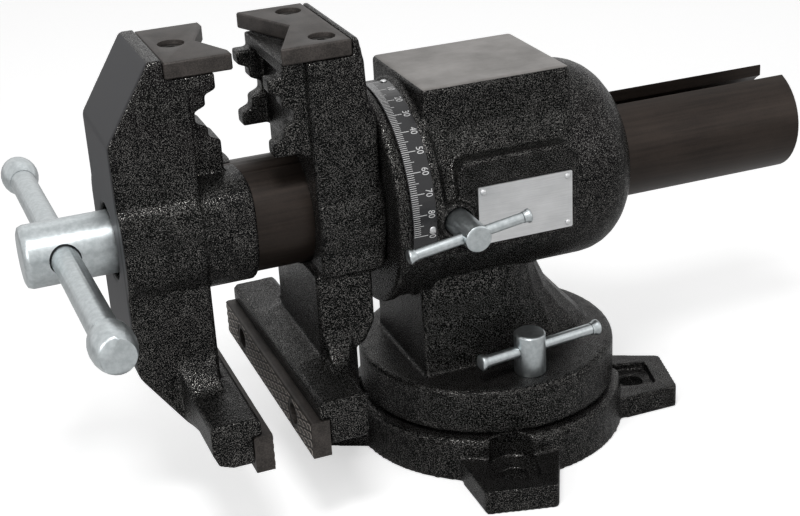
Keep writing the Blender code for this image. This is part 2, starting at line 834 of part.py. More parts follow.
def barrel_profile():
    """Down the outside of the barrel, from its domed back to its front face."""
    dome_centre = BARREL_BACK - DOME_CORNER
    crown = BARREL_RADIUS - DOME_CORNER
    profile = [(0, BARREL_BACK)]
    for step in range(DOME_STEPS + 1):
        angle = pi / 2 * (1 - step / DOME_STEPS)
        profile.append((crown + DOME_CORNER * cos(angle), dome_centre + DOME_CORNER * sin(angle)))
    flange_back = BARREL_FRONT + FLANGE_LENGTH
    profile += [
        (BARREL_RADIUS, SEAT_END + RIDGE_LENGTH * 2),
        (RIDGE_RADIUS, SEAT_END + RIDGE_LENGTH),
        (RIDGE_RADIUS, SEAT_END),
        (SEAT_RADIUS, SEAT_END),
        (SEAT_RADIUS, flange_back),
        (FLANGE_RADIUS, flange_back),
        (FLANGE_RADIUS, BARREL_FRONT + FLANGE_EDGE),
        (FLANGE_RADIUS - FLANGE_EDGE, BARREL_FRONT),
        (0, BARREL_FRONT),
    ]
    return profile


# Turret: disc, pedestal, barrel, anvil, plate pad and lock boss in one casting
def make_turret():
    spigot_low = BASE_HEIGHT + GAP
    body = turned(
        "turret_body",
        [
            (0, DISC_TOP),
            (DISC_RADIUS - DISC_EDGE, DISC_TOP),
            (DISC_RADIUS - DISC_EDGE * (1 - sin(pi / 4)), DISC_TOP - DISC_EDGE * (1 - cos(pi / 4))),
            (DISC_RADIUS, DISC_TOP - DISC_EDGE),
            (DISC_RADIUS, DISC_LOW),
            (SPIGOT_RADIUS, DISC_LOW),
            (SPIGOT_RADIUS, spigot_low),
            (0, spigot_low),
        ],
        LARGE_SIDES,
        Matrix.Identity(4),
    )
    pedestal = pedestal_loft("pedestal", DISC_TOP - SINK, AXIS_HEIGHT - ANVIL_HALF, 0)
    barrel = turned("barrel", barrel_profile(), LARGE_SIDES, BARREL_PLACE)
    anvil = plate(
        "anvil",
        rounded([
            (ANVIL_FRONT, -ANVIL_HALF, ANVIL_CORNER),
            (ANVIL_BACK, -ANVIL_HALF, ANVIL_CORNER),
            (ANVIL_BACK, ANVIL_HALF, ANVIL_CORNER),
            (ANVIL_FRONT, ANVIL_HALF, ANVIL_CORNER),
        ]),
        AXIS_HEIGHT + SLEEVE_RADIUS,
        ANVIL_TOP,
        "Z",
    )
    soften(anvil, ANVIL_EDGE)
    pad = plate(
        "plate_pad",
        rounded([
            (PAD_FRONT, AXIS_HEIGHT - PAD_DROP, PAD_CORNER),
            (PAD_BACK, AXIS_HEIGHT - PAD_DROP, PAD_CORNER),
            (PAD_BACK, AXIS_HEIGHT + PAD_RISE, PAD_CORNER),
            (PAD_FRONT, AXIS_HEIGHT + PAD_RISE, PAD_CORNER),
        ]),
        -PAD_REACH,
        -SLEEVE_RADIUS - SINK,
        "Y",
    )
    lock_boss = rod(
        "lock_boss",
        LOCK_BOSS_RADIUS,
        along_axis(HEAD_LOCK_X, -LOCK_BOSS_REACH),
        along_axis(HEAD_LOCK_X, -SLEEVE_RADIUS - SINK),
        SMALL_SIDES,
        LOCK_BOSS_EDGE,
    )
    join(body, pedestal, barrel, anvil, pad, lock_boss)
    hollow = pedestal_loft(
        "pedestal_hollow", BASE_HEIGHT + GAP + TURRET_FLOOR, AXIS_HEIGHT - ANVIL_HALF, PEDESTAL_WALL
    )
    sleeve_bore = SLEEVE_RADIUS + GAP
    tube_hole = TUBE_RADIUS + DOME_BORE_MARGIN
    bore = turned(
        "barrel_bore",
        [
            (0, BARREL_BACK + OVERRUN),
            (tube_hole, BARREL_BACK + OVERRUN),
            (tube_hole, SLEEVE_END + GAP),
            (sleeve_bore, SLEEVE_END + GAP),
            (sleeve_bore, BARREL_FRONT - OVERRUN),
            (0, BARREL_FRONT - OVERRUN),
        ],
        MEDIUM_SIDES,
        BORE_PLACE,
    )
    pivot_hole = rod(
        "turret_pivot_hole",
        PIVOT_RADIUS + GAP,
        (0, 0, 0),
        (0, 0, BASE_HEIGHT + TURRET_FLOOR + OVERRUN),
        SMALL_SIDES,
    )
    swivel_hole = rod(
        "swivel_lock_hole",
        SWIVEL_LOCK_THREAD_RADIUS + GAP,
        (SWIVEL_LOCK_X, lock_y, 0),
        (SWIVEL_LOCK_X, lock_y, DISC_TOP + OVERRUN),
        SMALL_SIDES,
    )
    head_lock_hole = stepped_hole(
        "head_lock_hole",
        along_axis(HEAD_LOCK_X, GAP - HEAD_LOCK_SHOULDER),
        (0, -1, 0),
        HEAD_LOCK_HEAD_RADIUS + GAP * 2,
        HEAD_LOCK_THREAD_RADIUS + GAP,
        LOCK_BOSS_REACH - HEAD_LOCK_SHOULDER + OVERRUN,
        HEAD_LOCK_SHOULDER - SLEEVE_RADIUS + OVERRUN,
        SMALL_SIDES,
    )
    cut(body, hollow, bore, pivot_hole, swivel_hole, head_lock_hole)
    for at, (x, z) in enumerate(plate_rivet_places()):
        cut(body, rod(
            "pad_rivet_hole_%d" % at,
            RIVET_SHANK + GAP,
            (x, -PAD_REACH - OVERRUN, z),
            (x, RIVET_DEPTH + GAP - PAD_REACH, z),
            TINY_SIDES,
        ))
    for at, angle in enumerate(BAND_RIVET_ANGLES):
        inner = SEAT_RADIUS - RIVET_DEPTH
        outer = SEAT_RADIUS + OVERRUN
        cut(body, rod(
            "band_rivet_hole_%d" % at,
            RIVET_SHANK + GAP,
            along_axis(BAND_RIVET_X, -inner * sin(angle), inner * cos(angle)),
            along_axis(BAND_RIVET_X, -outer * sin(angle), outer * cos(angle)),
            TINY_SIDES,
        ))
    as_part(body, "hammered_enamel", turret_frame)


def plate_rivet_places():
    """Where the nameplate's four rivets go, as (x, z)."""
    middle_x = 0
    middle_z = AXIS_HEIGHT - PLATE_DROP
    along = PLATE_LENGTH / 2 - RIVET_INSET
    up = PLATE_HEIGHT / 2 - RIVET_INSET
    return [(middle_x + a * along, middle_z + b * up) for a in (-1, 1) for b in (-1, 1)]


def rivet(name, surface, inward, radius):
    """A domed rivet whose head sits on surface and whose shank runs inward."""
    outward = -Vector(inward).normalized()
    turn = outward.to_track_quat("Z", "Y").to_matrix().to_4x4()
    profile = [
        (0, RIVET_HEIGHT),
        (radius * cos(pi / 4), RIVET_HEIGHT * sin(pi / 4)),
        (radius, 0),
        (RIVET_SHANK, 0),
        (RIVET_SHANK, GAP - RIVET_DEPTH),
        (0, GAP - RIVET_DEPTH),
    ]
    return turned(name, profile, TINY_SIDES, Matrix.Translation(surface) @ turn)


# Blank nameplate on its pad, held by four rivets
def make_nameplate():
    middle_z = AXIS_HEIGHT - PLATE_DROP
    face = PAD_REACH + GAP
    sheet = plate(
        "nameplate",
        rounded([
            (-PLATE_LENGTH / 2, middle_z - PLATE_HEIGHT / 2, PLATE_CORNER),
            (PLATE_LENGTH / 2, middle_z - PLATE_HEIGHT / 2, PLATE_CORNER),
            (PLATE_LENGTH / 2, middle_z + PLATE_HEIGHT / 2, PLATE_CORNER),
            (-PLATE_LENGTH / 2, middle_z + PLATE_HEIGHT / 2, PLATE_CORNER),
        ]),
        -face - PLATE_THICKNESS,
        -face,
        "Y",
    )
    top = face + PLATE_THICKNESS + GAP
    for at, (x, z) in enumerate(plate_rivet_places()):
        cut(sheet, rod(
            "nameplate_hole_%d" % at,
            RIVET_SHANK + GAP,
            (x, -face - PLATE_THICKNESS - OVERRUN, z),
            (x, OVERRUN - face, z),
            TINY_SIDES,
        ))
        pin = rivet("plate_rivet_%d" % at, (x, -top, z), (0, 1, 0), RIVET_RADIUS)
        as_part(pin, "aluminium", turret_frame)
    as_part(sheet, "aluminium", turret_frame)


# Angle scale: a thin strip riveted round a quarter of the barrel's front
def make_band():
    inner = SEAT_RADIUS + GAP
    outer = inner + BAND_THICKNESS
    angles = [BAND_START + (BAND_END - BAND_START) * step / BAND_STEPS for step in range(BAND_STEPS + 1)]
    outline = [(-outer * sin(a), AXIS_HEIGHT + outer * cos(a)) for a in angles]
    outline += [(-inner * sin(a), AXIS_HEIGHT + inner * cos(a)) for a in reversed(angles)]
    strip = plate("scale_band", outline, BAND_FRONT, BAND_BACK, "X")
    for at, angle in enumerate(BAND_RIVET_ANGLES):
        low = inner - OVERRUN
        high = outer + OVERRUN
        cut(strip, rod(
            "band_hole_%d" % at,
            RIVET_SHANK + GAP,
            along_axis(BAND_RIVET_X, -low * sin(angle), low * cos(angle)),
            along_axis(BAND_RIVET_X, -high * sin(angle), high * cos(angle)),
            TINY_SIDES,
        ))
        seat = outer + GAP
        place = along_axis(BAND_RIVET_X, -seat * sin(angle), seat * cos(angle))
        inward = (0, sin(angle), -cos(angle))
        pin = rivet("band_rivet_%d" % at, place, inward, BAND_RIVET_RADIUS)
        as_part(pin, "aluminium", turret_frame)
    as_part(strip, "black_band", turret_frame)


def tee_bar(name, centre, direction, length, radius, cap_radius, cap_length, parent):
    """A bar through a lock screw's head, with a flared cap pressed on each end."""
    direction = Vector(direction).normalized()
    centre = Vector(centre)
    tenon_radius = radius * BAR_SOCKET_RADIUS_SHARE
    half = length / 2
    shoulder = half - cap_length
    tenon_end = shoulder + BAR_SOCKET_LENGTH
    turn = direction.to_track_quat("Z", "Y").to_matrix().to_4x4()
    bar = turned(
        name,
        [
            (0, tenon_end),
            (tenon_radius, tenon_end),
            (tenon_radius, shoulder),
            (radius, shoulder),
            (radius, -shoulder),
            (tenon_radius, -shoulder),
            (tenon_radius, -tenon_end),
            (0, -tenon_end),
        ],
        SMALL_SIDES,
        Matrix.Translation(centre) @ turn,
    )
    as_part(bar, "zinc", parent)
    waist = cap_length * BAR_CAP_WAIST_SHARE
    neck = radius * BAR_CAP_NECK_SHARE
    for end_name, side in (("_cap_a", 1), ("_cap_b", -1)):
        outward = direction * side
        facing = outward.to_track_quat("Z", "Y").to_matrix().to_4x4()
        inner = shoulder + GAP
        cap = turned(
            name + end_name,
            [
                (0, half),
                (cap_radius - BAR_CAP_EDGE, half),
                (cap_radius, half - BAR_CAP_EDGE),
                (cap_radius, half - waist),
                (neck, inner + waist),
                (neck, inner),
                (tenon_radius + GAP, inner),
                (tenon_radius + GAP, tenon_end + GAP),
                (0, tenon_end + GAP),
            ],
            SMALL_SIDES,
            Matrix.Translation(centre) @ facing,
        )
        as_part(cap, "zinc", parent)


# Head lock: its pad presses on the groove round the head's sleeve
def make_head_lock():
    groove_floor = SLEEVE_RADIUS - LOCK_GROOVE_DEPTH
    pad_in = groove_floor + GAP
    pad_out = pad_in + HEAD_LOCK_PAD_LENGTH
    pad = rod(
        "head_lock_pad",
        HEAD_LOCK_THREAD_RADIUS,
        along_axis(HEAD_LOCK_X, -pad_out),
        along_axis(HEAD_LOCK_X, -pad_in),
        SMALL_SIDES,
    )
    as_part(pad, "bronze", head_lock_frame)
    end = HEAD_LOCK_END
    shank_in = pad_out + GAP
    place = Matrix.Translation(along_axis(HEAD_LOCK_X)) @ AXIS_TURNS["Y"]
    lock = turned(
        "head_lock_screw",
        [
            (0, end),
            (HEAD_LOCK_HEAD_RADIUS - HEAD_LOCK_EDGE, end),
            (HEAD_LOCK_HEAD_RADIUS, end - HEAD_LOCK_EDGE),
            (HEAD_LOCK_HEAD_RADIUS, HEAD_LOCK_SHOULDER),
            (HEAD_LOCK_THREAD_RADIUS, HEAD_LOCK_SHOULDER),
            (HEAD_LOCK_THREAD_RADIUS, shank_in),
            (0, shank_in),
        ],
        SMALL_SIDES,
        place,
    )
    bar_y = -(end - HEAD_BAR_INSET)
    direction = Vector((cos(HEAD_BAR_TURN), 0, sin(HEAD_BAR_TURN)))
    axis_point = Vector(along_axis(HEAD_LOCK_X, bar_y))
    reach = HEAD_LOCK_HEAD_RADIUS + OVERRUN
    cut(lock, rod(
        "head_bar_hole",
        HEAD_BAR_RADIUS + BAR_HOLE_MARGIN,
        axis_point - direction * reach,
        axis_point + direction * reach,
        SMALL_SIDES,
    ))
    as_part(lock, "zinc", head_lock_frame)
    tee_bar(
        "head_lock_bar",
        axis_point + direction * HEAD_BAR_OFFSET,
        direction,
        HEAD_BAR_LENGTH,
        HEAD_BAR_RADIUS,
        HEAD_BAR_CAP_RADIUS,
        HEAD_BAR_CAP_LENGTH,
        head_bar_frame,
    )


# Swivel lock: its screw draws the tee nut up against the base's groove
def make_swivel_lock():
    nut_low = GROOVE_FLOOR + GAP
    nut_high = BASE_HEIGHT - GROOVE_LIP - GAP
    hole = SWIVEL_LOCK_THREAD_RADIUS + GAP
    place = Matrix.Translation((SWIVEL_LOCK_X, lock_y, 0))
    nut = turned(
        "swivel_tee_nut",
        [(hole, nut_high), (TEE_NUT_RADIUS, nut_high), (TEE_NUT_RADIUS, nut_low), (hole, nut_low)],
        SMALL_SIDES,
        place,
    )
    as_part(nut, "steel", turret_frame)
    seat = DISC_TOP + GAP
    lock = turned(
        "swivel_lock_screw",
        [
            (0, SWIVEL_LOCK_TOP),
            (SWIVEL_LOCK_HEAD_RADIUS - SWIVEL_LOCK_EDGE, SWIVEL_LOCK_TOP),
            (SWIVEL_LOCK_HEAD_RADIUS, SWIVEL_LOCK_TOP - SWIVEL_LOCK_EDGE),
            (SWIVEL_LOCK_HEAD_RADIUS, seat),
            (SWIVEL_LOCK_THREAD_RADIUS, seat),
            (SWIVEL_LOCK_THREAD_RADIUS, nut_low),
            (0, nut_low),
        ],
        SMALL_SIDES,
        place,
    )
    bar_z = SWIVEL_LOCK_TOP - SWIVEL_BAR_DROP
    direction = Vector((cos(SWIVEL_BAR_TURN), sin(SWIVEL_BAR_TURN), 0))
    axis_point = Vector((SWIVEL_LOCK_X, lock_y, bar_z))
    reach = SWIVEL_LOCK_HEAD_RADIUS + OVERRUN
    cut(lock, rod(
        "swivel_bar_hole",
        SWIVEL_BAR_RADIUS + BAR_HOLE_MARGIN,
        axis_point - direction * reach,
        axis_point + direction * reach,
        SMALL_SIDES,
    ))
    as_part(lock, "zinc", swivel_lock_frame)
    tee_bar(
        "swivel_lock_bar",
        axis_point + direction * SWIVEL_BAR_OFFSET,
        direction,
        SWIVEL_BAR_LENGTH,
        SWIVEL_BAR_RADIUS,
        SWIVEL_BAR_CAP_RADIUS,
        SWIVEL_BAR_CAP_LENGTH,
        swivel_bar_frame,
    )


def vee_outline(tip, back, outward, low):
    """The stepped vee of a pipe jaw, as (x, z): outward is -1 or +1 along X."""
    middle = CAP_SEAT - VEE_DROP
    inner = tip - outward * VEE_STEP
    deep = inner - outward * VEE_STEP
    first = VEE_FLAT + VEE_RISER
    second = first + VEE_TREAD
    third = second + VEE_RISER
    top = third + VEE_TIP
    upper = [(deep, VEE_FLAT), (inner, first), (inner, second), (tip, third), (tip, top)]
    points = [(back, middle + top)]
    points += [(x, middle + rise) for x, rise in reversed(upper)]
    points += [(x, middle - rise) for x, rise in upper]
    points += [(tip, low), (back, low)] if low < middle - top else [(back, middle - top)]
    return points


def foot_ring(across, face, ledge, plane, front, rise, side, low_round):
    """One section of a foot: side is +1 where the plate faces +X and -1 where it faces -X."""
    seat_top = JAW_PLATE_TOP + GAP
    cove = FOOT_TOP + rise * FLARE_COVE_SHARE
    chamfer = low_round * (1 - cos(pi / 4))
    return [
        (face, across, FOOT_LOW),
        (face, across, seat_top),
        (ledge, across, seat_top),
        (ledge, across, FOOT_TOP - LEDGE_ROUND),
        (ledge - side * LEDGE_ROUND, across, FOOT_TOP),
        (plane, across, cove),
        (plane, across, FOOT_TOP + rise),
        (front + side * LEDGE_ROUND, across, FOOT_TOP + rise),
        (front, across, FOOT_TOP + rise - LEDGE_ROUND),
        (front, across, FOOT_LOW + low_round),
        (front + side * chamfer, across, FOOT_LOW + chamfer),
        (front + side * low_round, across, FOOT_LOW),
    ]


def foot_piece(name, face, ledge, plane, front_mid, front_end, leg_half, side, low_round):
    """A jaw's foot: the leg's stretch in the middle, flaring out to the plate's two ends.

    face is the plate's seat, ledge the edge that overhangs it, plane the leg's face above
    the ledge, and front the foot's far side, which draws in from front_mid at the leg to
    front_end at the plate's ends. Its low edge there is rounded by low_round.
    """
    rings = []
    for step in range(FLARE_STEPS + 1):
        share = step / FLARE_STEPS
        across = leg_half - SINK + (FLARE_REACH + SINK) * share
        rise = max(FLARE_RISE * (1 - share) ** FLARE_POWER, FLARE_LEAST)
        front = front_end + (front_mid - front_end) * (1 - share) ** FLARE_POWER
        rings.append((across, plane, front, rise))
    rings.append((FOOT_HALF, plane, front_end, FLARE_LEAST))
    mirrored = [(-across, *rest) for across, *rest in reversed(rings)]
    return loft(name, [
        foot_ring(across, face, ledge, plane, front, rise, side, low_round)
        for across, plane, front, rise in mirrored + rings
    ])


# Rotating head: rear jaw block with pipe ribs, hub, sleeve, leg and foot. The block's back is
# relieved where it swings past the head lock's tee bar
def make_head():
    bar_tip = HEAD_LOCK_X + HEAD_BAR_OFFSET - HEAD_BAR_LENGTH / 2
    block_outline = rounded([
        (HEAD_FACE, CAP_SEAT + LIP_RISE, 0),
        (HEAD_FACE, BLOCK_LOW, 0),
        (HEAD_BACK, BLOCK_LOW, 0),
        (HEAD_BACK, BLOCK_BACK_HIGH, 0),
        (bar_tip - LOCK_SWING_GAP, BLOCK_RELIEF_HEIGHT, 0),
        (BLOCK_BACK_MID, CAP_SEAT - BLOCK_BACK_MID_DROP, 0),
        (LIP_BACK, CAP_SEAT + LIP_RISE, LIP_ROUND),
    ])
    head = plate("rotating_head", block_outline, -HEAD_HALF, HEAD_HALF, "Y")
    soften(head, BLOCK_EDGE)
    jaw_block = plate(
        "pipe_block",
        [
            (SHELF_FACE, CAP_SEAT + LIP_RISE),
            (SHELF_FACE, CAP_SEAT - SHELF_DROP),
            (BLOCK_FACE, CAP_SEAT - SHELF_DROP - SHELF_SLOPE),
            (BLOCK_FACE, BLOCK_FACE_LOW),
            (HEAD_FACE + SINK, BLOCK_FACE_LOW - SHELF_SLOPE),
            (HEAD_FACE + SINK, CAP_SEAT + LIP_RISE),
        ],
        -RIB_OUTER - GAP,
        RIB_OUTER + GAP,
        "Y",
    )
    soften(jaw_block, RIB_EDGE)
    groove_floor = SLEEVE_RADIUS - LOCK_GROOVE_DEPTH
    hub = turned(
        "hub",
        [
            (0, SLEEVE_END),
            (SLEEVE_RADIUS, SLEEVE_END),
            (SLEEVE_RADIUS, HEAD_LOCK_X + LOCK_GROOVE_HALF),
            (groove_floor, HEAD_LOCK_X + LOCK_GROOVE_HALF),
            (groove_floor, HEAD_LOCK_X - LOCK_GROOVE_HALF),
            (SLEEVE_RADIUS, HEAD_LOCK_X - LOCK_GROOVE_HALF),
            (SLEEVE_RADIUS, HEAD_BACK + HUB_PROUD),
            (HUB_RADIUS, HEAD_BACK + HUB_PROUD),
            (HUB_RADIUS, HEAD_FACE + HUB_EDGE),
            (HUB_RADIUS - HUB_EDGE, HEAD_FACE + GAP),
            (0, HEAD_FACE + GAP),
        ],
        MEDIUM_SIDES,
        BARREL_PLACE,
    )
    leg = plate(
        "rear_leg",
        [
            (LEG_FRONT, BLOCK_LOW + SINK),
            (LEG_FRONT, FOOT_LOW + FOOT_ROUND),
            (FOOT_BACK - SINK, FOOT_LOW + FOOT_ROUND),
            (FOOT_BACK - SINK, FOOT_TOP - LEG_DIP),
            (LEG_KNEE, LEG_KNEE_HEIGHT),
            (LEG_BACK, LEG_TAPER_HEIGHT),
            (LEG_BACK, BLOCK_LOW + SINK),
        ],
        -LEG_HALF,
        LEG_HALF,
        "Y",
    )
    soften(leg, BLOCK_EDGE)
    seat = REAR_PLATE_FACE + JAW_PLATE_THICKNESS + GAP
    foot = foot_piece(
        "rear_foot", seat, seat - LEDGE_DEPTH, LEG_FRONT + SINK, REAR_FLARE_BACK, FOOT_BACK,
        LEG_HALF, -1, REAR_FOOT_ROUND
    )
    ribs = []
    outline = vee_outline(RIB_TIP, HEAD_FACE + SINK, -1, CAP_SEAT)
    for side in (-1, 1):
        rib = plate(
            "pipe_rib_near" if side < 0 else "pipe_rib_far",
            outline,
            min(side * RIB_INNER, side * RIB_OUTER),
            max(side * RIB_INNER, side * RIB_OUTER),
            "Y",
        )
        soften(rib, RIB_EDGE)
        ribs.append(rib)
    join(head, hub, leg, foot, jaw_block, *ribs)
    bore = turned(
        "sleeve_bore",
        [
            (0, SLEEVE_END + OVERRUN),
            (TUBE_RADIUS + GAP, SLEEVE_END + OVERRUN),
            (TUBE_RADIUS + GAP, SHELF_FACE - OVERRUN),
            (0, SHELF_FACE - OVERRUN),
        ],
        MEDIUM_SIDES,
        BORE_PLACE,
    )
    cap_room = block(
        "rear_cap_room",
        (REAR_CAP_FRONT - OVERRUN, -HEAD_HALF - OVERRUN, CAP_SEAT),
        (REAR_CAP_BACK + GAP, HEAD_HALF + OVERRUN, CAP_SEAT + LIP_RISE + OVERRUN),
    )
    cut(head, bore, cap_room)
    for at, y in enumerate((-REAR_CAP_HOLE_Y, REAR_CAP_HOLE_Y)):
        cut(head, screw_hole("rear_cap_tap_%d" % at, (REAR_CAP_HOLE_X, y, CAP_SEAT), (0, 0, 1)))
    for at, y in enumerate((-JAW_PLATE_HOLE_Y, JAW_PLATE_HOLE_Y)):
        place = (seat, y, (JAW_PLATE_LOW + JAW_PLATE_TOP) / 2)
        cut(head, screw_hole("rear_plate_tap_%d" % at, place, (-1, 0, 0)))
    for at, x in enumerate((NUT_SCREW_FRONT_X, NUT_SCREW_BACK_X)):
        head_low = SLEEVE_RADIUS - NUT_SCREW_HEAD_HEIGHT - GAP * 2
        cut(head, stepped_hole(
            "nut_screw_hole_%d" % at,
            along_axis(x, 0, head_low),
            (0, 0, 1),
            NUT_SCREW_HEAD_RADIUS + GAP,
            NUT_SCREW_RADIUS + GAP,
            NUT_SCREW_HEAD_HEIGHT + OVERRUN,
            head_low - NUT_RADIUS,
            SMALL_SIDES,
        ))
    as_part(head, "hammered_enamel", head_frame)


# Pipe jaw caps: hardened plates with a vee notch, screwed on top of the pipe jaws
def cap_piece(name, front, back, half, tip, vee_depth, holes, parent):
    """front is the notched edge, and back the edge against the casting's lip."""
    low = CAP_SEAT + GAP
    high = CAP_SEAT + CAP_THICKNESS
    toward = 1 if back > front else -1
    outline = [
        (back, -half),
        (back, half),
        (front, half),
        (front, half - tip),
        (front + toward * vee_depth, 0),
        (front, tip - half),
        (front, -half),
    ]
    piece = plate(name, outline, low, high, "Z")
    soften(piece, CAP_EDGE)
    web_top = high - CAP_BORE_DEPTH
    for at, (x, y) in enumerate(holes):
        cut(piece, stepped_hole(
            "%s_hole_%d" % (name, at),
            (x, y, web_top),
            (0, 0, 1),
            CAP_BORE_RADIUS,
            SCREW_RADIUS + SCREW_CLEARANCE,
            CAP_BORE_DEPTH + OVERRUN,
            web_top - low + OVERRUN,
            SMALL_SIDES,
        ))
        screw = screw_piece(
            "%s_screw_%d" % (name, at),
            (x, y, web_top + GAP),
            (0, 0, 1),
            SCREW_HEAD_RADIUS,
            SCREW_HEAD_HEIGHT,
            SCREW_RADIUS,
            SCREW_LENGTH - GAP * 2 + web_top - CAP_SEAT,
            SMALL_SIDES,
        )
        as_part(screw, "black_oxide", parent)
    as_part(piece, "phosphate", parent)


def make_caps():
    cap_piece(
        "rear_pipe_cap",
        REAR_CAP_FRONT,
        REAR_CAP_BACK,
        REAR_CAP_HALF,
        REAR_CAP_TIP,
        REAR_CAP_VEE_DEPTH,
        [(REAR_CAP_HOLE_X, -REAR_CAP_HOLE_Y), (REAR_CAP_HOLE_X, REAR_CAP_HOLE_Y)],
        head_frame,
    )
    cap_piece(
        "moving_pipe_cap",
        MOVING_CAP_FRONT,
        MOVING_CAP_BACK,
        MOVING_CAP_HALF,
        MOVING_CAP_TIP,
        MOVING_CAP_VEE_DEPTH,
        [(MOVING_CAP_HOLE_X, 0)],
        jaw_frame,
    )


# Flat jaw plates, each held by two screws from its gripping face
def jaw_plate(name, face, inward, parent):
    """face is the gripping face's x, and inward is +1 or -1, from it into the jaw."""
    back = face + inward * JAW_PLATE_THICKNESS
    low_x = min(face, back)
    high_x = max(face, back)
    outline = rounded([
        (low_x, JAW_PLATE_LOW, 0),
        (high_x, JAW_PLATE_LOW, 0),
        (high_x, JAW_PLATE_TOP, 0),
        (low_x, JAW_PLATE_TOP, JAW_PLATE_EDGE),
    ])
    piece = plate(name, outline, -JAW_PLATE_HALF, JAW_PLATE_HALF, "Y")
    middle = (JAW_PLATE_LOW + JAW_PLATE_TOP) / 2
    floor = face + inward * PLATE_BORE_DEPTH
    for at, y in enumerate((-JAW_PLATE_HOLE_Y, JAW_PLATE_HOLE_Y)):
        cut(piece, stepped_hole(
            "%s_hole_%d" % (name, at),
            (floor, y, middle),
            (-inward, 0, 0),
            PLATE_BORE_RADIUS,
            SCREW_RADIUS + SCREW_CLEARANCE,
            PLATE_BORE_DEPTH + OVERRUN,
            JAW_PLATE_THICKNESS - PLATE_BORE_DEPTH + OVERRUN,
            SMALL_SIDES,
        ))
        web = JAW_PLATE_THICKNESS - PLATE_BORE_DEPTH
        screw = screw_piece(
            "%s_screw_%d" % (name, at),
            (floor - inward * GAP, y, middle),
            (-inward, 0, 0),
            PLATE_SCREW_HEAD_RADIUS,
            SCREW_HEAD_HEIGHT,
            SCREW_RADIUS,
            SCREW_LENGTH - GAP * 2 + web,
            SMALL_SIDES,
        )
        as_part(screw, "black_oxide", parent)
    as_part(piece, "phosphate", parent)


def make_jaw_plates():
    jaw_plate("rear_jaw_plate", REAR_PLATE_FACE, 1, head_frame)
    jaw_plate("moving_jaw_plate", REAR_PLATE_FACE - JAW_OPENING, -1, jaw_frame)


def boss_outline(share):
    """The moving jaw's boss, as (y, z): squarer above the axis than below it."""
    outline = []
    for step in range(BOSS_STEPS):
        angle = 2 * pi * step / BOSS_STEPS
        power = BOSS_TOP_POWER if sin(angle) > 0 else BOSS_LOW_POWER
        rise = BOSS_RISE if sin(angle) > 0 else BOSS_FALL
        across = abs(cos(angle)) ** (2 / power) * (1 if cos(angle) > 0 else -1)
        up = abs(sin(angle)) ** (2 / power) * (1 if sin(angle) > 0 else -1)
        outline.append((BOSS_HALF * share * across, AXIS_HEIGHT + rise * share * up))
    return outline


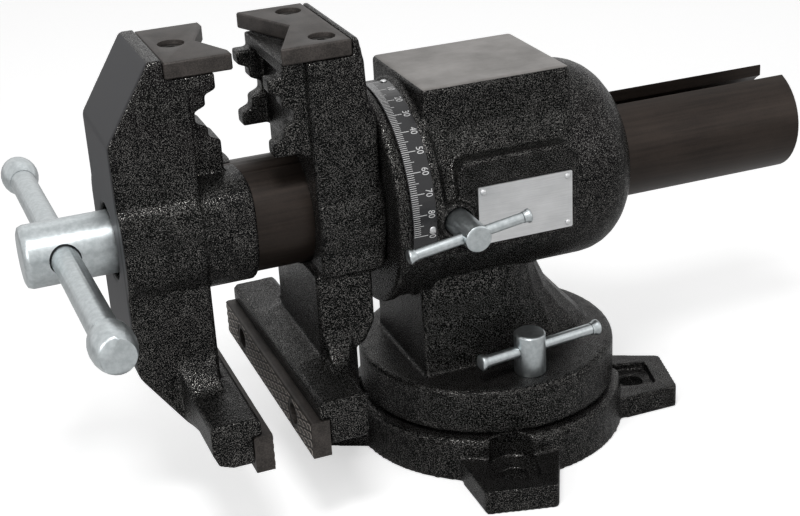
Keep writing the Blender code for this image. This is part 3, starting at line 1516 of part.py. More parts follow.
# Moving jaw: body, boss for the slide tube, tooth block, leg and foot
def make_moving_jaw():
    lip_face = MOVING_CAP_BACK - GAP
    seat = REAR_PLATE_FACE - JAW_OPENING - JAW_PLATE_THICKNESS - GAP
    body_outline = rounded([
        (JAW_LIP_FRONT, CAP_SEAT + JAW_LIP_RISE, JAW_LIP_ROUND),
        (JAW_FRONT, JAW_SLOPE_LOW, JAW_BEND_ROUND),
        (JAW_FRONT, JAW_TURN_HEIGHT, JAW_TURN_ROUND),
        (JAW_TOE, JAW_TOE_HEIGHT, JAW_BEND_ROUND),
        (JAW_BACK, FOOT_LOW + LEG_DIP, 0),
        (JAW_BACK, CAP_SEAT - JAW_SHELF_DROP - SHELF_SLOPE, 0),
        (JAW_SHELF_FACE, CAP_SEAT - JAW_SHELF_DROP, 0),
        (JAW_SHELF_FACE, CAP_SEAT + JAW_LIP_RISE, 0),
    ])
    jaw = plate("moving_jaw", body_outline, -JAW_HALF, JAW_HALF, "Y")
    soften(jaw, JAW_EDGE)
    teeth = plate(
        "moving_teeth",
        vee_outline(JAW_TOOTH_TIP, JAW_BACK - SINK, 1, JAW_TOOTH_FOOT),
        -JAW_TOOTH_HALF,
        JAW_TOOTH_HALF,
        "Y",
    )
    soften(teeth, RIB_EDGE)
    boss = plate("jaw_boss", boss_outline(1), JAW_FRONT + GAP, BOSS_BACK, "X")
    collar = plate("jaw_collar", boss_outline(COLLAR_SHARE), BOSS_BACK - SINK, COLLAR_FACE, "X")
    soften(collar, JAW_EDGE)
    foot = foot_piece(
        "moving_foot", seat, seat + LEDGE_DEPTH, JAW_BACK - SINK, MOVING_FLARE_FRONT,
        JAW_FOOT_FRONT, JAW_HALF, 1, FOOT_ROUND
    )
    join(jaw, boss, collar, teeth, foot)
    tube_bore = TUBE_RADIUS + GAP
    journal_bore = JOURNAL_RADIUS + GAP
    bores = turned(
        "jaw_bores",
        [
            (0, COLLAR_FACE + OVERRUN),
            (tube_bore, COLLAR_FACE + OVERRUN),
            (tube_bore, JAW_WALL_FACE),
            (journal_bore, JAW_WALL_FACE),
            (journal_bore, JAW_FRONT + COUNTERBORE_DEPTH),
            (COUNTERBORE_RADIUS, JAW_FRONT + COUNTERBORE_DEPTH),
            (COUNTERBORE_RADIUS, JAW_FRONT - OVERRUN),
            (0, JAW_FRONT - OVERRUN),
        ],
        MEDIUM_SIDES,
        BORE_PLACE,
    )
    cap_room = block(
        "moving_cap_room",
        (lip_face, -JAW_HALF - OVERRUN, CAP_SEAT),
        (MOVING_CAP_FRONT + OVERRUN, JAW_HALF + OVERRUN, CAP_SEAT + JAW_LIP_RISE + OVERRUN),
    )
    cut(jaw, bores, cap_room)
    cut(jaw, screw_hole("moving_cap_tap", (MOVING_CAP_HOLE_X, 0, CAP_SEAT), (0, 0, 1)))
    for at, y in enumerate((-JAW_PLATE_HOLE_Y, JAW_PLATE_HOLE_Y)):
        place = (seat, y, (JAW_PLATE_LOW + JAW_PLATE_TOP) / 2)
        cut(jaw, screw_hole("moving_plate_tap_%d" % at, place, (1, 0, 0)))
    for at, x in enumerate((GRUB_BACK_X, GRUB_FRONT_X)):
        start = TUBE_RADIUS + GAP
        cut(jaw, rod(
            "grub_hole_%d" % at,
            GRUB_RADIUS + GAP,
            along_axis(x, TUBE_RADIUS - OVERRUN),
            along_axis(x, BOSS_HALF + OVERRUN),
            TINY_SIDES,
        ))
        grub = rod(
            "tube_grub_screw_%d" % at,
            GRUB_RADIUS,
            along_axis(x, start),
            along_axis(x, start + GRUB_LENGTH),
            TINY_SIDES,
        )
        as_part(grub, "black_oxide", jaw_frame)
    as_part(jaw, "hammered_enamel", jaw_frame)


# Slide tube: seated in the moving jaw and slotted along its top for the nut's key
def make_tube():
    inner = TUBE_RADIUS - TUBE_WALL
    front = JAW_WALL_FACE + GAP
    tube = turned(
        "slide_tube",
        [
            (inner, TUBE_END),
            (TUBE_RADIUS - TUBE_EDGE, TUBE_END),
            (TUBE_RADIUS, TUBE_END - TUBE_EDGE),
            (TUBE_RADIUS, front),
            (inner, front),
        ],
        MEDIUM_SIDES,
        BARREL_PLACE,
    )
    slot = block(
        "tube_slot",
        along_axis(TUBE_SLOT_START, -TUBE_SLOT_HALF, 0),
        along_axis(TUBE_END + OVERRUN, TUBE_SLOT_HALF, TUBE_RADIUS + OVERRUN),
    )
    cut(tube, slot)
    as_part(tube, "black_oxide", jaw_frame)


# Spindle: cross-drilled head, journal through the jaw and the screw to the nut
def make_spindle():
    shoulder = JAW_FRONT + COUNTERBORE_DEPTH - THRUST_WASHER_THICKNESS - GAP * 2
    washer_low = shoulder + GAP
    washer = turned(
        "thrust_washer",
        [
            (JOURNAL_RADIUS + GAP, washer_low + THRUST_WASHER_THICKNESS),
            (SPINDLE_HEAD_RADIUS + SPINDLE_THRUST_STEP, washer_low + THRUST_WASHER_THICKNESS),
            (SPINDLE_HEAD_RADIUS + SPINDLE_THRUST_STEP, washer_low),
            (JOURNAL_RADIUS + GAP, washer_low),
        ],
        SMALL_SIDES,
        BARREL_PLACE,
    )
    as_part(washer, "steel", jaw_frame)
    spindle = turned(
        "spindle",
        [
            (0, THREAD_END),
            (THREAD_ROOT_RADIUS, THREAD_END),
            (THREAD_RADIUS, THREAD_END - (THREAD_RADIUS - THREAD_ROOT_RADIUS)),
            (THREAD_RADIUS, THREAD_START + THREAD_RELIEF),
            (THREAD_ROOT_RADIUS, THREAD_START + THREAD_RELIEF),
            (THREAD_ROOT_RADIUS, THREAD_START),
            (JOURNAL_RADIUS, THREAD_START),
            (JOURNAL_RADIUS, shoulder),
            (SPINDLE_HEAD_RADIUS, shoulder),
            (SPINDLE_HEAD_RADIUS, SPINDLE_END + SPINDLE_ROUND),
            (
                SPINDLE_HEAD_RADIUS - SPINDLE_ROUND * (1 - cos(pi / 4)),
                SPINDLE_END + SPINDLE_ROUND * (1 - sin(pi / 4)),
            ),
            (SPINDLE_HEAD_RADIUS - SPINDLE_ROUND, SPINDLE_END),
            (0, SPINDLE_END),
        ],
        SMALL_SIDES,
        BARREL_PLACE,
    )
    bar_hole = rod(
        "handle_hole",
        HANDLE_RADIUS + HANDLE_HOLE_MARGIN,
        handle_point(-SPINDLE_HEAD_RADIUS - OVERRUN),
        handle_point(SPINDLE_HEAD_RADIUS + OVERRUN),
        SMALL_SIDES,
    )
    ring_low = JAW_WALL_FACE + GAP
    ring_high = ring_low + COLLAR_RING_LENGTH
    ring = turned(
        "spindle_collar",
        [
            (JOURNAL_RADIUS + GAP, ring_high),
            (COLLAR_RING_RADIUS, ring_high),
            (COLLAR_RING_RADIUS, ring_low),
            (JOURNAL_RADIUS + GAP, ring_low),
        ],
        SMALL_SIDES,
        BARREL_PLACE,
    )
    pin_x = (ring_low + ring_high) / 2
    pin_holes = [
        rod(
            name,
            COLLAR_PIN_RADIUS + GAP,
            along_axis(pin_x, 0, -COLLAR_RING_RADIUS - OVERRUN),
            along_axis(pin_x, 0, COLLAR_RING_RADIUS + OVERRUN),
            TINY_SIDES,
        )
        for name in ("spindle_pin_hole", "collar_pin_hole")
    ]
    cut(spindle, bar_hole, pin_holes[0])
    cut(ring, pin_holes[1])
    pin = rod(
        "collar_pin",
        COLLAR_PIN_RADIUS,
        along_axis(pin_x, 0, -COLLAR_RING_RADIUS),
        along_axis(pin_x, 0, COLLAR_RING_RADIUS),
        TINY_SIDES,
    )
    as_part(spindle, "zinc", spindle_frame)
    as_part(ring, "steel", spindle_frame)
    as_part(pin, "steel", spindle_frame)


def handle_point(distance):
    """A point on the handle's axis, at a distance from the spindle's axis."""
    return along_axis(HANDLE_X, distance * cos(HANDLE_TILT), distance * sin(HANDLE_TILT))


# Spindle nut: a round nut in the tube, keyed up through the slot to the sleeve
def make_nut():
    key_top = sqrt((TUBE_RADIUS + GAP) ** 2 - NUT_KEY_HALF ** 2) - GAP * 2
    nut = rod("spindle_nut", NUT_RADIUS, along_axis(NUT_FRONT), along_axis(NUT_BACK), MEDIUM_SIDES)
    key = block(
        "nut_key",
        along_axis(NUT_FRONT, -NUT_KEY_HALF, 0),
        along_axis(NUT_BACK, NUT_KEY_HALF, key_top),
    )
    join(nut, key)
    cut(nut, rod(
        "nut_thread",
        THREAD_RADIUS + GAP,
        along_axis(NUT_FRONT - OVERRUN),
        along_axis(NUT_BACK + OVERRUN),
        SMALL_SIDES,
    ))
    head_low = SLEEVE_RADIUS - NUT_SCREW_HEAD_HEIGHT - GAP
    for at, x in enumerate((NUT_SCREW_FRONT_X, NUT_SCREW_BACK_X)):
        cut(nut, rod(
            "nut_tap_%d" % at,
            NUT_SCREW_RADIUS + GAP,
            along_axis(x, 0, head_low - NUT_SCREW_LENGTH - GAP),
            along_axis(x, 0, TUBE_RADIUS + OVERRUN),
            TINY_SIDES,
        ))
        screw = screw_piece(
            "nut_screw_%d" % at,
            along_axis(x, 0, head_low),
            (0, 0, 1),
            NUT_SCREW_HEAD_RADIUS,
            NUT_SCREW_HEAD_HEIGHT - GAP,
            NUT_SCREW_RADIUS,
            NUT_SCREW_LENGTH,
            SMALL_SIDES,
        )
        as_part(screw, "black_oxide", head_frame)
    as_part(nut, "bronze", head_frame)


def knob_profile(tenon_end, inner, crown, flat_end):
    """A long rounded knob, from its flat end back to the rod, with a blind hole in it."""
    start = (flat_end - crown) / KNOB_CURVE
    finish_at = (inner - crown) / KNOB_CURVE
    profile = [(0, flat_end)]
    for step in range(KNOB_STEPS + 1):
        share = start + (finish_at - start) * step / KNOB_STEPS
        profile.append((KNOB_RADIUS * sqrt(1 - share ** 2), crown + KNOB_CURVE * share))
    profile += [
        (KNOB_TENON_RADIUS + GAP, inner),
        (KNOB_TENON_RADIUS + GAP, tenon_end + GAP),
        (0, tenon_end + GAP),
    ]
    return profile


# Handle: a rod that slides through the spindle's head, with a knob on each end
def make_handle():
    flat = sqrt(1 - (KNOB_FLAT_RADIUS / KNOB_RADIUS) ** 2) * KNOB_CURVE
    neck = sqrt(1 - (HANDLE_RADIUS / KNOB_RADIUS) ** 2) * KNOB_CURVE
    shoulder = HANDLE_SPAN - neck
    tenon_end = shoulder + KNOB_TENON_LENGTH
    direction = Vector(handle_point(1)) - Vector(handle_point(0))
    turn = direction.to_track_quat("Z", "Y").to_matrix().to_4x4()
    place = Matrix.Translation(handle_point(HANDLE_OFFSET))
    bar = turned(
        "handle_bar",
        [
            (0, tenon_end),
            (KNOB_TENON_RADIUS, tenon_end),
            (KNOB_TENON_RADIUS, shoulder),
            (HANDLE_RADIUS, shoulder),
            (HANDLE_RADIUS, -shoulder),
            (KNOB_TENON_RADIUS, -shoulder),
            (KNOB_TENON_RADIUS, -tenon_end),
            (0, -tenon_end),
        ],
        SMALL_SIDES,
        place @ turn,
    )
    as_part(bar, "zinc", handle_frame)
    for name, side in (("handle_knob_far", 1), ("handle_knob_near", -1)):
        facing = (direction * side).to_track_quat("Z", "Y").to_matrix().to_4x4()
        profile = knob_profile(tenon_end, shoulder + GAP, HANDLE_SPAN, HANDLE_SPAN + flat)
        knob = turned(name, profile, SMALL_SIDES, place @ facing)
        as_part(knob, "zinc", handle_frame)


make_base()
make_pivot()
make_turret()
make_nameplate()
make_band()
make_head_lock()
make_swivel_lock()
make_head()
make_caps()
make_jaw_plates()
make_moving_jaw()
make_tube()
make_spindle()
make_nut()
make_handle()
bpy.context.view_layer.update()
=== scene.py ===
"""Swivel bench vise with a rotating head, dressed for a studio picture.

Every piece is built in the model's own frame, in metres: +Z up, the origin under the swivel
axis, and the barrel along X with the jaws at its -X end.
"""
from math import cos, hypot, pi, radians, sin

import bmesh
import bpy
from mathutils import Matrix, Vector


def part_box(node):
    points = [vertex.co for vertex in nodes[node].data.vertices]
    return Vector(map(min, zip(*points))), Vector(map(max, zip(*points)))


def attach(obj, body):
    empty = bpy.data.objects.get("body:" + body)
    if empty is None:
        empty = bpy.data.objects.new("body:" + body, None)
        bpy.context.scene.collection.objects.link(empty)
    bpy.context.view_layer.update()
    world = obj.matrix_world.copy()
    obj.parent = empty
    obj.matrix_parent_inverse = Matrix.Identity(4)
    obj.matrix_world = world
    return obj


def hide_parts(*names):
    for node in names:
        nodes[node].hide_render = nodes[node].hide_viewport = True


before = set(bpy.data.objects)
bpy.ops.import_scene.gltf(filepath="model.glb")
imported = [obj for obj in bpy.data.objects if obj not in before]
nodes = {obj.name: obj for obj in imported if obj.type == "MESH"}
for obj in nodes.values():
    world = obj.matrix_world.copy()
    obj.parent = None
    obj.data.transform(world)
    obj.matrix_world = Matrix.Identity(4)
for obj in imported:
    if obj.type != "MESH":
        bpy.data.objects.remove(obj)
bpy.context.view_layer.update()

# The picture: the vise stands on a pale studio floor, seen from its left front.
# Four soft lamps over and round it light the dark enamel and give the plating its shine.
turn, rise, roll = radians(-20.17), radians(24.17), radians(-3.21)
away = Vector((sin(turn) * cos(rise), -cos(turn) * cos(rise), sin(rise)))
across = Vector((0, 0, 1)).cross(away).normalized()
upward = away.cross(across)
camera = bpy.data.objects.new("camera", bpy.data.cameras.new("camera"))
camera.data.sensor_width = 36
camera.data.lens = 68.23
camera.data.clip_start = 0.01
stand = Matrix((across, upward, away)).transposed().to_4x4() @ Matrix.Rotation(roll, 4, "Z")
stand.translation = Vector((-0.29376, -0.67296, 0.42386))
camera.matrix_world = stand
bpy.context.scene.collection.objects.link(camera)
bpy.context.scene.camera = camera
bpy.context.scene.view_settings.view_transform = "Standard"


def lamp(name, place, aim, size, power):
    """A soft white lamp that looks from place at aim."""
    light = bpy.data.lights.new(name, "AREA")
    light.shape = "RECTANGLE"
    light.size, light.size_y = size
    light.energy = power
    item = bpy.data.objects.new(name, light)
    look = (Vector(place) - Vector(aim)).to_track_quat("Z", "Y").to_matrix().to_4x4()
    item.matrix_world = Matrix.Translation(place) @ look
    bpy.context.scene.collection.objects.link(item)


lamp("lamp_over", (-0.26, -0.45, 0.95), (-0.13, 0.0, 0.13), (0.26, 0.20), 3.5)
lamp("lamp_left", (-0.85, -0.60, 0.60), (-0.10, 0.0, 0.12), (0.22, 0.30), 2.4)
lamp("lamp_right", (0.85, -0.75, 0.55), (0.05, 0.0, 0.10), (0.3, 0.5), 0.6)
lamp("lamp_back", (0.10, 0.90, 0.95), (0.0, 0.0, 0.12), (0.8, 0.4), 0.5)


class Wire:
    """A node tree's socket. Python arithmetic on it adds the tree's Math nodes."""

    def __init__(self, tree, socket=None):
        self.tree = tree
        self.socket = socket

    def node(self, kind, settings=None, inputs=None, output=0):
        """A new node: its settings first, then its inputs' values or wires."""
        made = self.tree.nodes.new(kind)
        for name, value in (settings or {}).items():
            setattr(made, name, value)
        for name, value in (inputs or {}).items():
            if isinstance(value, Wire):
                self.tree.links.new(value.socket, made.inputs[name])
            else:
                made.inputs[name].default_value = value
        return Wire(self.tree, made.outputs[output])

    def into(self, node, name):
        """Feed this wire into a node's named input."""
        self.tree.links.new(self.socket, node.inputs[name])

    def math(self, operation, *values):
        """The result of one Math node on values or wires."""
        return self.node("ShaderNodeMath", {"operation": operation}, dict(enumerate(values)))

    def __add__(self, other):
        return self.math("ADD", self, other)

    def __sub__(self, other):
        return self.math("SUBTRACT", self, other)

    def __rsub__(self, other):
        return self.math("SUBTRACT", other, self)

    def __mul__(self, other):
        return self.math("MULTIPLY", self, other)

    def __truediv__(self, other):
        return self.math("DIVIDE", self, other)

    def __pow__(self, other):
        return self.math("POWER", self, other)

    __radd__ = __add__
    __rmul__ = __mul__

    def step(self, low, high):
        """0 below low and 1 above high, smooth between."""
        limits = {"Value": self, "From Min": low, "From Max": high}
        return self.node("ShaderNodeMapRange", {"interpolation_type": "SMOOTHSTEP"}, limits)

    def mix(self, first, second):
        """The colour first where this wire is 0, and second where it is 1."""
        colours = [
            value if isinstance(value, Wire) else (*value, 1.0) for value in (first, second)
        ]
        inputs = {0: self, 6: colours[0], 7: colours[1]}
        return self.node("ShaderNodeMix", {"data_type": "RGBA"}, inputs, 2)

    def part(self, name):
        """One of X, Y and Z of a vector."""
        order = "XYZ".index(name)
        return self.node("ShaderNodeSeparateXYZ", None, {0: self}, order)


world = bpy.data.worlds.new("studio")
bpy.context.scene.world = world
world.use_nodes = True
sky = Wire(world.node_tree)
seen = sky.node("ShaderNodeLightPath", None, None, "Is Camera Ray")
seen = seen.math("MAXIMUM", seen, sky.node("ShaderNodeLightPath", None, None, "Is Glossy Ray"))
clear = sky.node("ShaderNodeLightPath", None, None, "Is Transmission Ray")
seen = seen.math("MAXIMUM", seen, clear)
plain_light = 0.40
(seen * (1.0 - plain_light) + plain_light).into(world.node_tree.nodes["Background"], "Strength")
world.node_tree.nodes["Background"].inputs["Color"].default_value = (1.0, 1.0, 1.0, 1.0)

floor_half, floor_drop = 4.0, 0.0002
floor = bpy.data.objects.new("floor", bpy.data.meshes.new("floor"))
shape = bmesh.new()
bmesh.ops.create_grid(shape, x_segments=1, y_segments=1, size=floor_half)
bmesh.ops.translate(shape, vec=(0, 0, -floor_drop), verts=shape.verts)
shape.to_mesh(floor.data)
shape.free()
bpy.context.scene.collection.objects.link(floor)
paper = bpy.data.materials.new("white_paper")
paper.use_nodes = True
paper_shader = paper.node_tree.nodes["Principled BSDF"]
paper_shader.inputs["Base Color"].default_value = (0.86, 0.86, 0.86, 1.0)
paper_shader.inputs["Roughness"].default_value = 0.9
paper_shader.inputs["Specular IOR Level"].default_value = 0.1
lift = Wire(paper.node_tree).node("ShaderNodeLightPath", None, None, "Is Camera Ray")
lift.mix((0.0, 0.0, 0.0), (0.52, 0.52, 0.52)).into(paper_shader, "Emission Color")
paper_shader.inputs["Emission Strength"].default_value = 1.0
floor.data.materials.append(paper)


# Swivel base: a grey iron casting with four bolt lugs, sprayed with black hammertone enamel
# that pulls into bright flecks in a dark net. It is bolted to the bench through its lugs.
def new_finish(name):
    """A material, its shader, a wire to build from and the place on the piece."""
    material = bpy.data.materials.new(name)
    material.use_nodes = True
    shader = material.node_tree.nodes["Principled BSDF"]
    start = Wire(material.node_tree)
    place = start.node("ShaderNodeTexCoord", None, None, "Object")
    return material, shader, start, place


def noise(start, place, scale, detail=2.0, rough=0.5, stretch=None):
    """A noise between 0 and 1, with its grain at 1 / scale metres."""
    if stretch is not None:
        place = start.node("ShaderNodeMapping", None, {"Vector": place, "Scale": stretch})
    sizes = {"Vector": place, "Scale": scale, "Detail": detail, "Roughness": rough}
    return start.node("ShaderNodeTexNoise", None, sizes, "Fac")


def hammered_enamel(name, worn=None):
    """Black hammertone; worn(start, place) gives a mask of a surface that is bare or plain."""
    material, shader, start, place = new_finish(name)
    net_colour, fleck_colour = (0.0012, 0.0012, 0.0013), (0.200, 0.194, 0.185)
    fleck_low, fleck_high = 0.545, 0.655
    grain = noise(start, place, 2500.0, 2.0, 0.5)
    blotch = noise(start, place, 160.0, 2.0)
    fleck = (grain + (blotch - 0.5) * 0.10).step(fleck_low, fleck_high)
    colour = fleck.mix(net_colour, fleck_colour)
    rough = 0.25 - fleck * 0.07
    height = noise(start, place, 1300.0, 1.0, 0.5)
    metal = fleck * 0.82
    if worn is not None:
        mask, bare, bare_rough, bare_metal = worn(start, place)
        colour = mask.mix(colour, bare)
        rough = rough + (bare_rough - rough) * mask
        height = height * (1.0 - mask)
        metal = metal + (bare_metal - metal) * mask
    colour.into(shader, "Base Color")
    rough.into(shader, "Roughness")
    metal.into(shader, "Metallic")
    shader.inputs["Specular IOR Level"].default_value = 0.06
    bump = {"Height": height, "Strength": 0.50, "Distance": 0.0006}
    start.node("ShaderNodeBump", None, bump).into(shader, "Normal")
    return material


def applied(piece):
    """Turn a piece's modifiers into a plain mesh."""
    graph = bpy.context.evaluated_depsgraph_get()
    mesh = bpy.data.meshes.new_from_object(piece.evaluated_get(graph))
    piece.modifiers.clear()
    piece.data = mesh


def merged_copy(node, name):
    """A copy of a model node with its triangles joined up."""
    mesh = nodes[node].data.copy()
    shape = bmesh.new()
    shape.from_mesh(mesh)
    same_place = 0.000002
    bmesh.ops.remove_doubles(shape, verts=shape.verts, dist=same_place)
    shape.to_mesh(mesh)
    shape.free()
    mesh.materials.clear()
    piece = bpy.data.objects.new(name, mesh)
    bpy.context.scene.collection.objects.link(piece)
    return piece


def casting(node, name, body, material, grid, rounds, most):
    """Make a model node's casting, with soft edges and fillets, in at most so many triangles."""
    piece = merged_copy(node, name)
    remesh = piece.modifiers.new("grid", "REMESH")
    remesh.mode = "VOXEL"
    remesh.voxel_size = grid
    remesh.use_smooth_shade = True
    smooth = piece.modifiers.new("smooth", "SMOOTH")
    smooth.factor = 0.5
    smooth.iterations = rounds
    applied(piece)
    count = 2 * len(piece.data.polygons)
    if count > most:
        thin = piece.modifiers.new("thin", "DECIMATE")
        thin.ratio = most / count
        applied(piece)
    piece.data.shade_smooth()
    piece.data.materials.append(material)
    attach(piece, body)
    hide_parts(node)


enamel = hammered_enamel("hammered_enamel_finish")
casting(
    "swivel_base", "base_casting", "base", enamel, grid=0.00085, rounds=3, most=190000
)


# Centre pivot: a zinc-plated bolt and washer inside the turret, screwed into the base.
# Bright zinc has a fine grain and a slightly clouded shine.
def zinc_plate(name):
    """Bright zinc, slightly clouded."""
    material, shader, start, place = new_finish(name)
    cloud = noise(start, place, 420.0, 4.0, 0.6)
    fine = noise(start, place, 2600.0, 2.0)
    colour = cloud.step(0.3, 0.7).mix((0.42, 0.455, 0.465), (0.53, 0.565, 0.575))
    colour.into(shader, "Base Color")
    (0.26 + cloud * 0.12 + fine * 0.05).into(shader, "Roughness")
    shader.inputs["Metallic"].default_value = 1.0
    bump = {"Height": fine + cloud, "Strength": 0.10, "Distance": 0.0001}
    start.node("ShaderNodeBump", None, bump).into(shader, "Normal")
    return material


def dress(node, material):
    """Give a model node that keeps its shape its finish."""
    item = nodes[node]
    item.data.materials.clear()
    item.data.materials.append(material)


sharp_corner = radians(32)
flat_face_weight = 80


def even_shading(piece):
    """Shade round sides smooth, and keep flat faces flat and sharp corners sharp."""
    piece.data.shade_smooth()
    piece.data.set_sharp_from_angle(angle=sharp_corner)
    even = piece.modifiers.new("even", "WEIGHTED_NORMAL")
    even.weight = flat_face_weight
    even.keep_sharp = True
    applied(piece)


def smoothed(node, body, material):
    """Replace a model node by a copy, its round sides smooth and its corners sharp."""
    piece = merged_copy(node, node + "_round")
    even_shading(piece)
    piece.data.materials.append(material)
    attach(piece, body)
    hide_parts(node)


zinc = zinc_plate("zinc_finish")
for node in ("pivot_bolt", "pivot_washer"):
    smoothed(node, "base", zinc)


# Turret: disc, pedestal, barrel, anvil block, plate pad and lock boss in one hammertone
# casting. The anvil's top is ground bare, with fine grinding marks along the barrel.
anvil_top = 0.2020
paint_edge_low, paint_edge_high = 0.00075, 0.00045


def ground_anvil(start, place):
    """The anvil's bare top: its mask, colour, roughness and metal."""
    height = place.part("Z")
    mask = height.step(anvil_top - paint_edge_low, anvil_top - paint_edge_high)
    marks = noise(start, place, 90.0, 6.0, 0.7, (1.0, 22.0, 1.0))
    stain = noise(start, place, 38.0, 4.0, 0.6)
    tone = (marks * 0.35 + stain * 0.65).step(0.30, 0.72)
    bare = tone.mix((0.135, 0.128, 0.120), (0.275, 0.262, 0.252))
    return mask, bare, 0.34 + marks * 0.16, 0.85


turret_enamel = hammered_enamel("turret_finish", ground_anvil)
casting(
    "turret_body", "turret_casting", "turret", turret_enamel,
    grid=0.00095, rounds=3, most=195000,
)


# Nameplate: a bare aluminium sheet on its pad, brushed along its length, left blank.
# Four domed aluminium rivets hold its corners to the casting.
def brushed_aluminium(name):
    """Aluminium with fine brush marks along X."""
    material, shader, start, place = new_finish(name)
    brush = noise(start, place, 60.0, 5.0, 0.7, (1.0, 30.0, 30.0))
    soft = noise(start, place, 90.0, 2.0)
    tone = (brush * 0.6 + soft * 0.4).step(0.2, 0.8)
    tone.mix((0.54, 0.545, 0.55), (0.74, 0.745, 0.75)).into(shader, "Base Color")
    (0.32 + brush * 0.14).into(shader, "Roughness")
    shader.inputs["Metallic"].default_value = 0.9
    bump = {"Height": brush, "Strength": 0.15, "Distance": 0.0001}
    start.node("ShaderNodeBump", None, bump).into(shader, "Normal")
    return material


aluminium = brushed_aluminium("aluminium_finish")
dress("nameplate", aluminium)


def repeat_tree(name, sizes):
    """A Geometry Nodes tree, and wires to its geometry, its named sizes and its finish."""
    tree = bpy.data.node_groups.new(name, "GeometryNodeTree")
    tree.interface.new_socket("Geometry", in_out="INPUT", socket_type="NodeSocketGeometry")
    for label, start in sizes.items():
        kind = "NodeSocketInt" if isinstance(start, int) else "NodeSocketFloat"
        tree.interface.new_socket(label, in_out="INPUT", socket_type=kind).default_value = start
    tree.interface.new_socket("Finish", in_out="INPUT", socket_type="NodeSocketMaterial")
    tree.interface.new_socket("Geometry", in_out="OUTPUT", socket_type="NodeSocketGeometry")
    gate = tree.nodes.new("NodeGroupInput")
    wires = {socket.name: Wire(tree, socket) for socket in gate.outputs if socket.name}
    return tree, wires


def end_tree(tree, wires, geometry):
    """Realise what repeats, give it its finish and hand it out."""
    real = geometry.node("GeometryNodeRealizeInstances", None, {"Geometry": geometry})
    painted = {"Geometry": real, "Material": wires["Finish"]}
    real = real.node("GeometryNodeSetMaterial", None, painted)
    way_out = tree.nodes.new("NodeGroupOutput")
    real.into(way_out, "Geometry")


def seats_mesh(name, seats):
    """Points with the direction that each faces: [(place, outward), ...]."""
    mesh = bpy.data.meshes.new(name)
    mesh.from_pydata([tuple(place) for place, outward in seats], [], [])
    facing = mesh.attributes.new("outward", "FLOAT_VECTOR", "POINT")
    for at, (place, outward) in enumerate(seats):
        facing.data[at].vector = Vector(outward).normalized()
    return mesh


def grown(name, mesh, tree, sizes, material, body, replaced):
    """Run a tree on a mesh and keep the result as a plain piece that rides its body."""
    piece = bpy.data.objects.new(name, mesh)
    bpy.context.scene.collection.objects.link(piece)
    modifier = piece.modifiers.new("repeat", "NODES")
    modifier.node_group = tree
    for item in tree.interface.items_tree:
        if item.in_out == "INPUT" and item.name in sizes:
            modifier[item.identifier] = sizes[item.name]
        if item.in_out == "INPUT" and item.name == "Finish":
            modifier[item.identifier] = material
    applied(piece)
    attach(piece, body)
    if replaced:
        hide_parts(*replaced)


def on_seats(wires, head):
    """The head on every point, its own Z along the point's outward direction."""
    outward = head.node(
        "GeometryNodeInputNamedAttribute", {"data_type": "FLOAT_VECTOR"}, {"Name": "outward"}
    )
    facing = head.node("FunctionNodeAlignRotationToVector", {"axis": "Z"}, {"Vector": outward})
    inputs = {"Points": wires["Geometry"], "Instance": head, "Rotation": facing}
    return head.node("GeometryNodeInstanceOnPoints", None, inputs)


plate_rivet_size = {"Radius": 0.0015, "Height": 0.0008}
plate_rivets = ["plate_rivet_%d" % at for at in range(4)]
rivets, wires = repeat_tree("rivets", plate_rivet_size)
start = Wire(rivets)
dome = {"Segments": 28, "Rings": 14, "Radius": wires["Radius"]}
dome = start.node("GeometryNodeMeshUVSphere", None, dome)
squat = start.node(
    "ShaderNodeCombineXYZ", None, {0: 1.0, 1: 1.0, 2: wires["Height"] / wires["Radius"]}
)
dome = start.node("GeometryNodeTransform", None, {"Geometry": dome, "Scale": squat})
dome = start.node("GeometryNodeSetShadeSmooth", None, {"Geometry": dome})
end_tree(rivets, wires, on_seats(wires, dome))

plate_rivet_seats = []
for node in plate_rivets:
    low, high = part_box(node)
    seat_y = low.y + plate_rivet_size["Height"]
    seat = Vector(((low.x + high.x) / 2, seat_y, (low.z + high.z) / 2))
    plate_rivet_seats.append((seat, (0, -1, 0)))
grown(
    "nameplate_rivets", seats_mesh("nameplate_rivets", plate_rivet_seats), rivets,
    plate_rivet_size, aluminium, "turret", plate_rivets,
)


# Angle scale: a thin black strip riveted round the barrel, with a bare mark at every
# number, longer at fives and tens, and the numbers 10 to 90 that read down the strip.
def strip_black(name):
    """Smooth black paint on a metal strip."""
    material, shader, start, place = new_finish(name)
    soft = noise(start, place, 120.0, 3.0)
    soft.mix((0.010, 0.010, 0.011), (0.020, 0.020, 0.022)).into(shader, "Base Color")
    (0.22 + soft * 0.10).into(shader, "Roughness")
    return material


def bare_mark(name):
    """The strip's marks and numbers, where the metal shows through the paint."""
    material, shader, start, place = new_finish(name)
    tone = noise(start, place, 900.0)
    tone.mix((0.50, 0.50, 0.50), (0.72, 0.72, 0.72)).into(shader, "Base Color")
    shader.inputs["Roughness"].default_value = 0.4
    shader.inputs["Metallic"].default_value = 0.3
    return material


def marked_every(number, steps):
    """1 at each multiple of steps, and 0 between."""
    return 1.0 - number.math("MINIMUM", number.math("MODULO", number, steps), 1.0)


dress("scale_band", strip_black("strip_black_finish"))
printed = bare_mark("bare_mark_finish")
axis_height = 0.1421
seat_radius, band_gap, band_thickness = 0.0548, 0.0003, 0.0005
band_top = seat_radius + band_gap + band_thickness
band_front = -0.0593
zero_angle = radians(-1.6)
mark_turn = radians(1.072)
mark_margin = 0.0003
long_mark_widening = 0.25

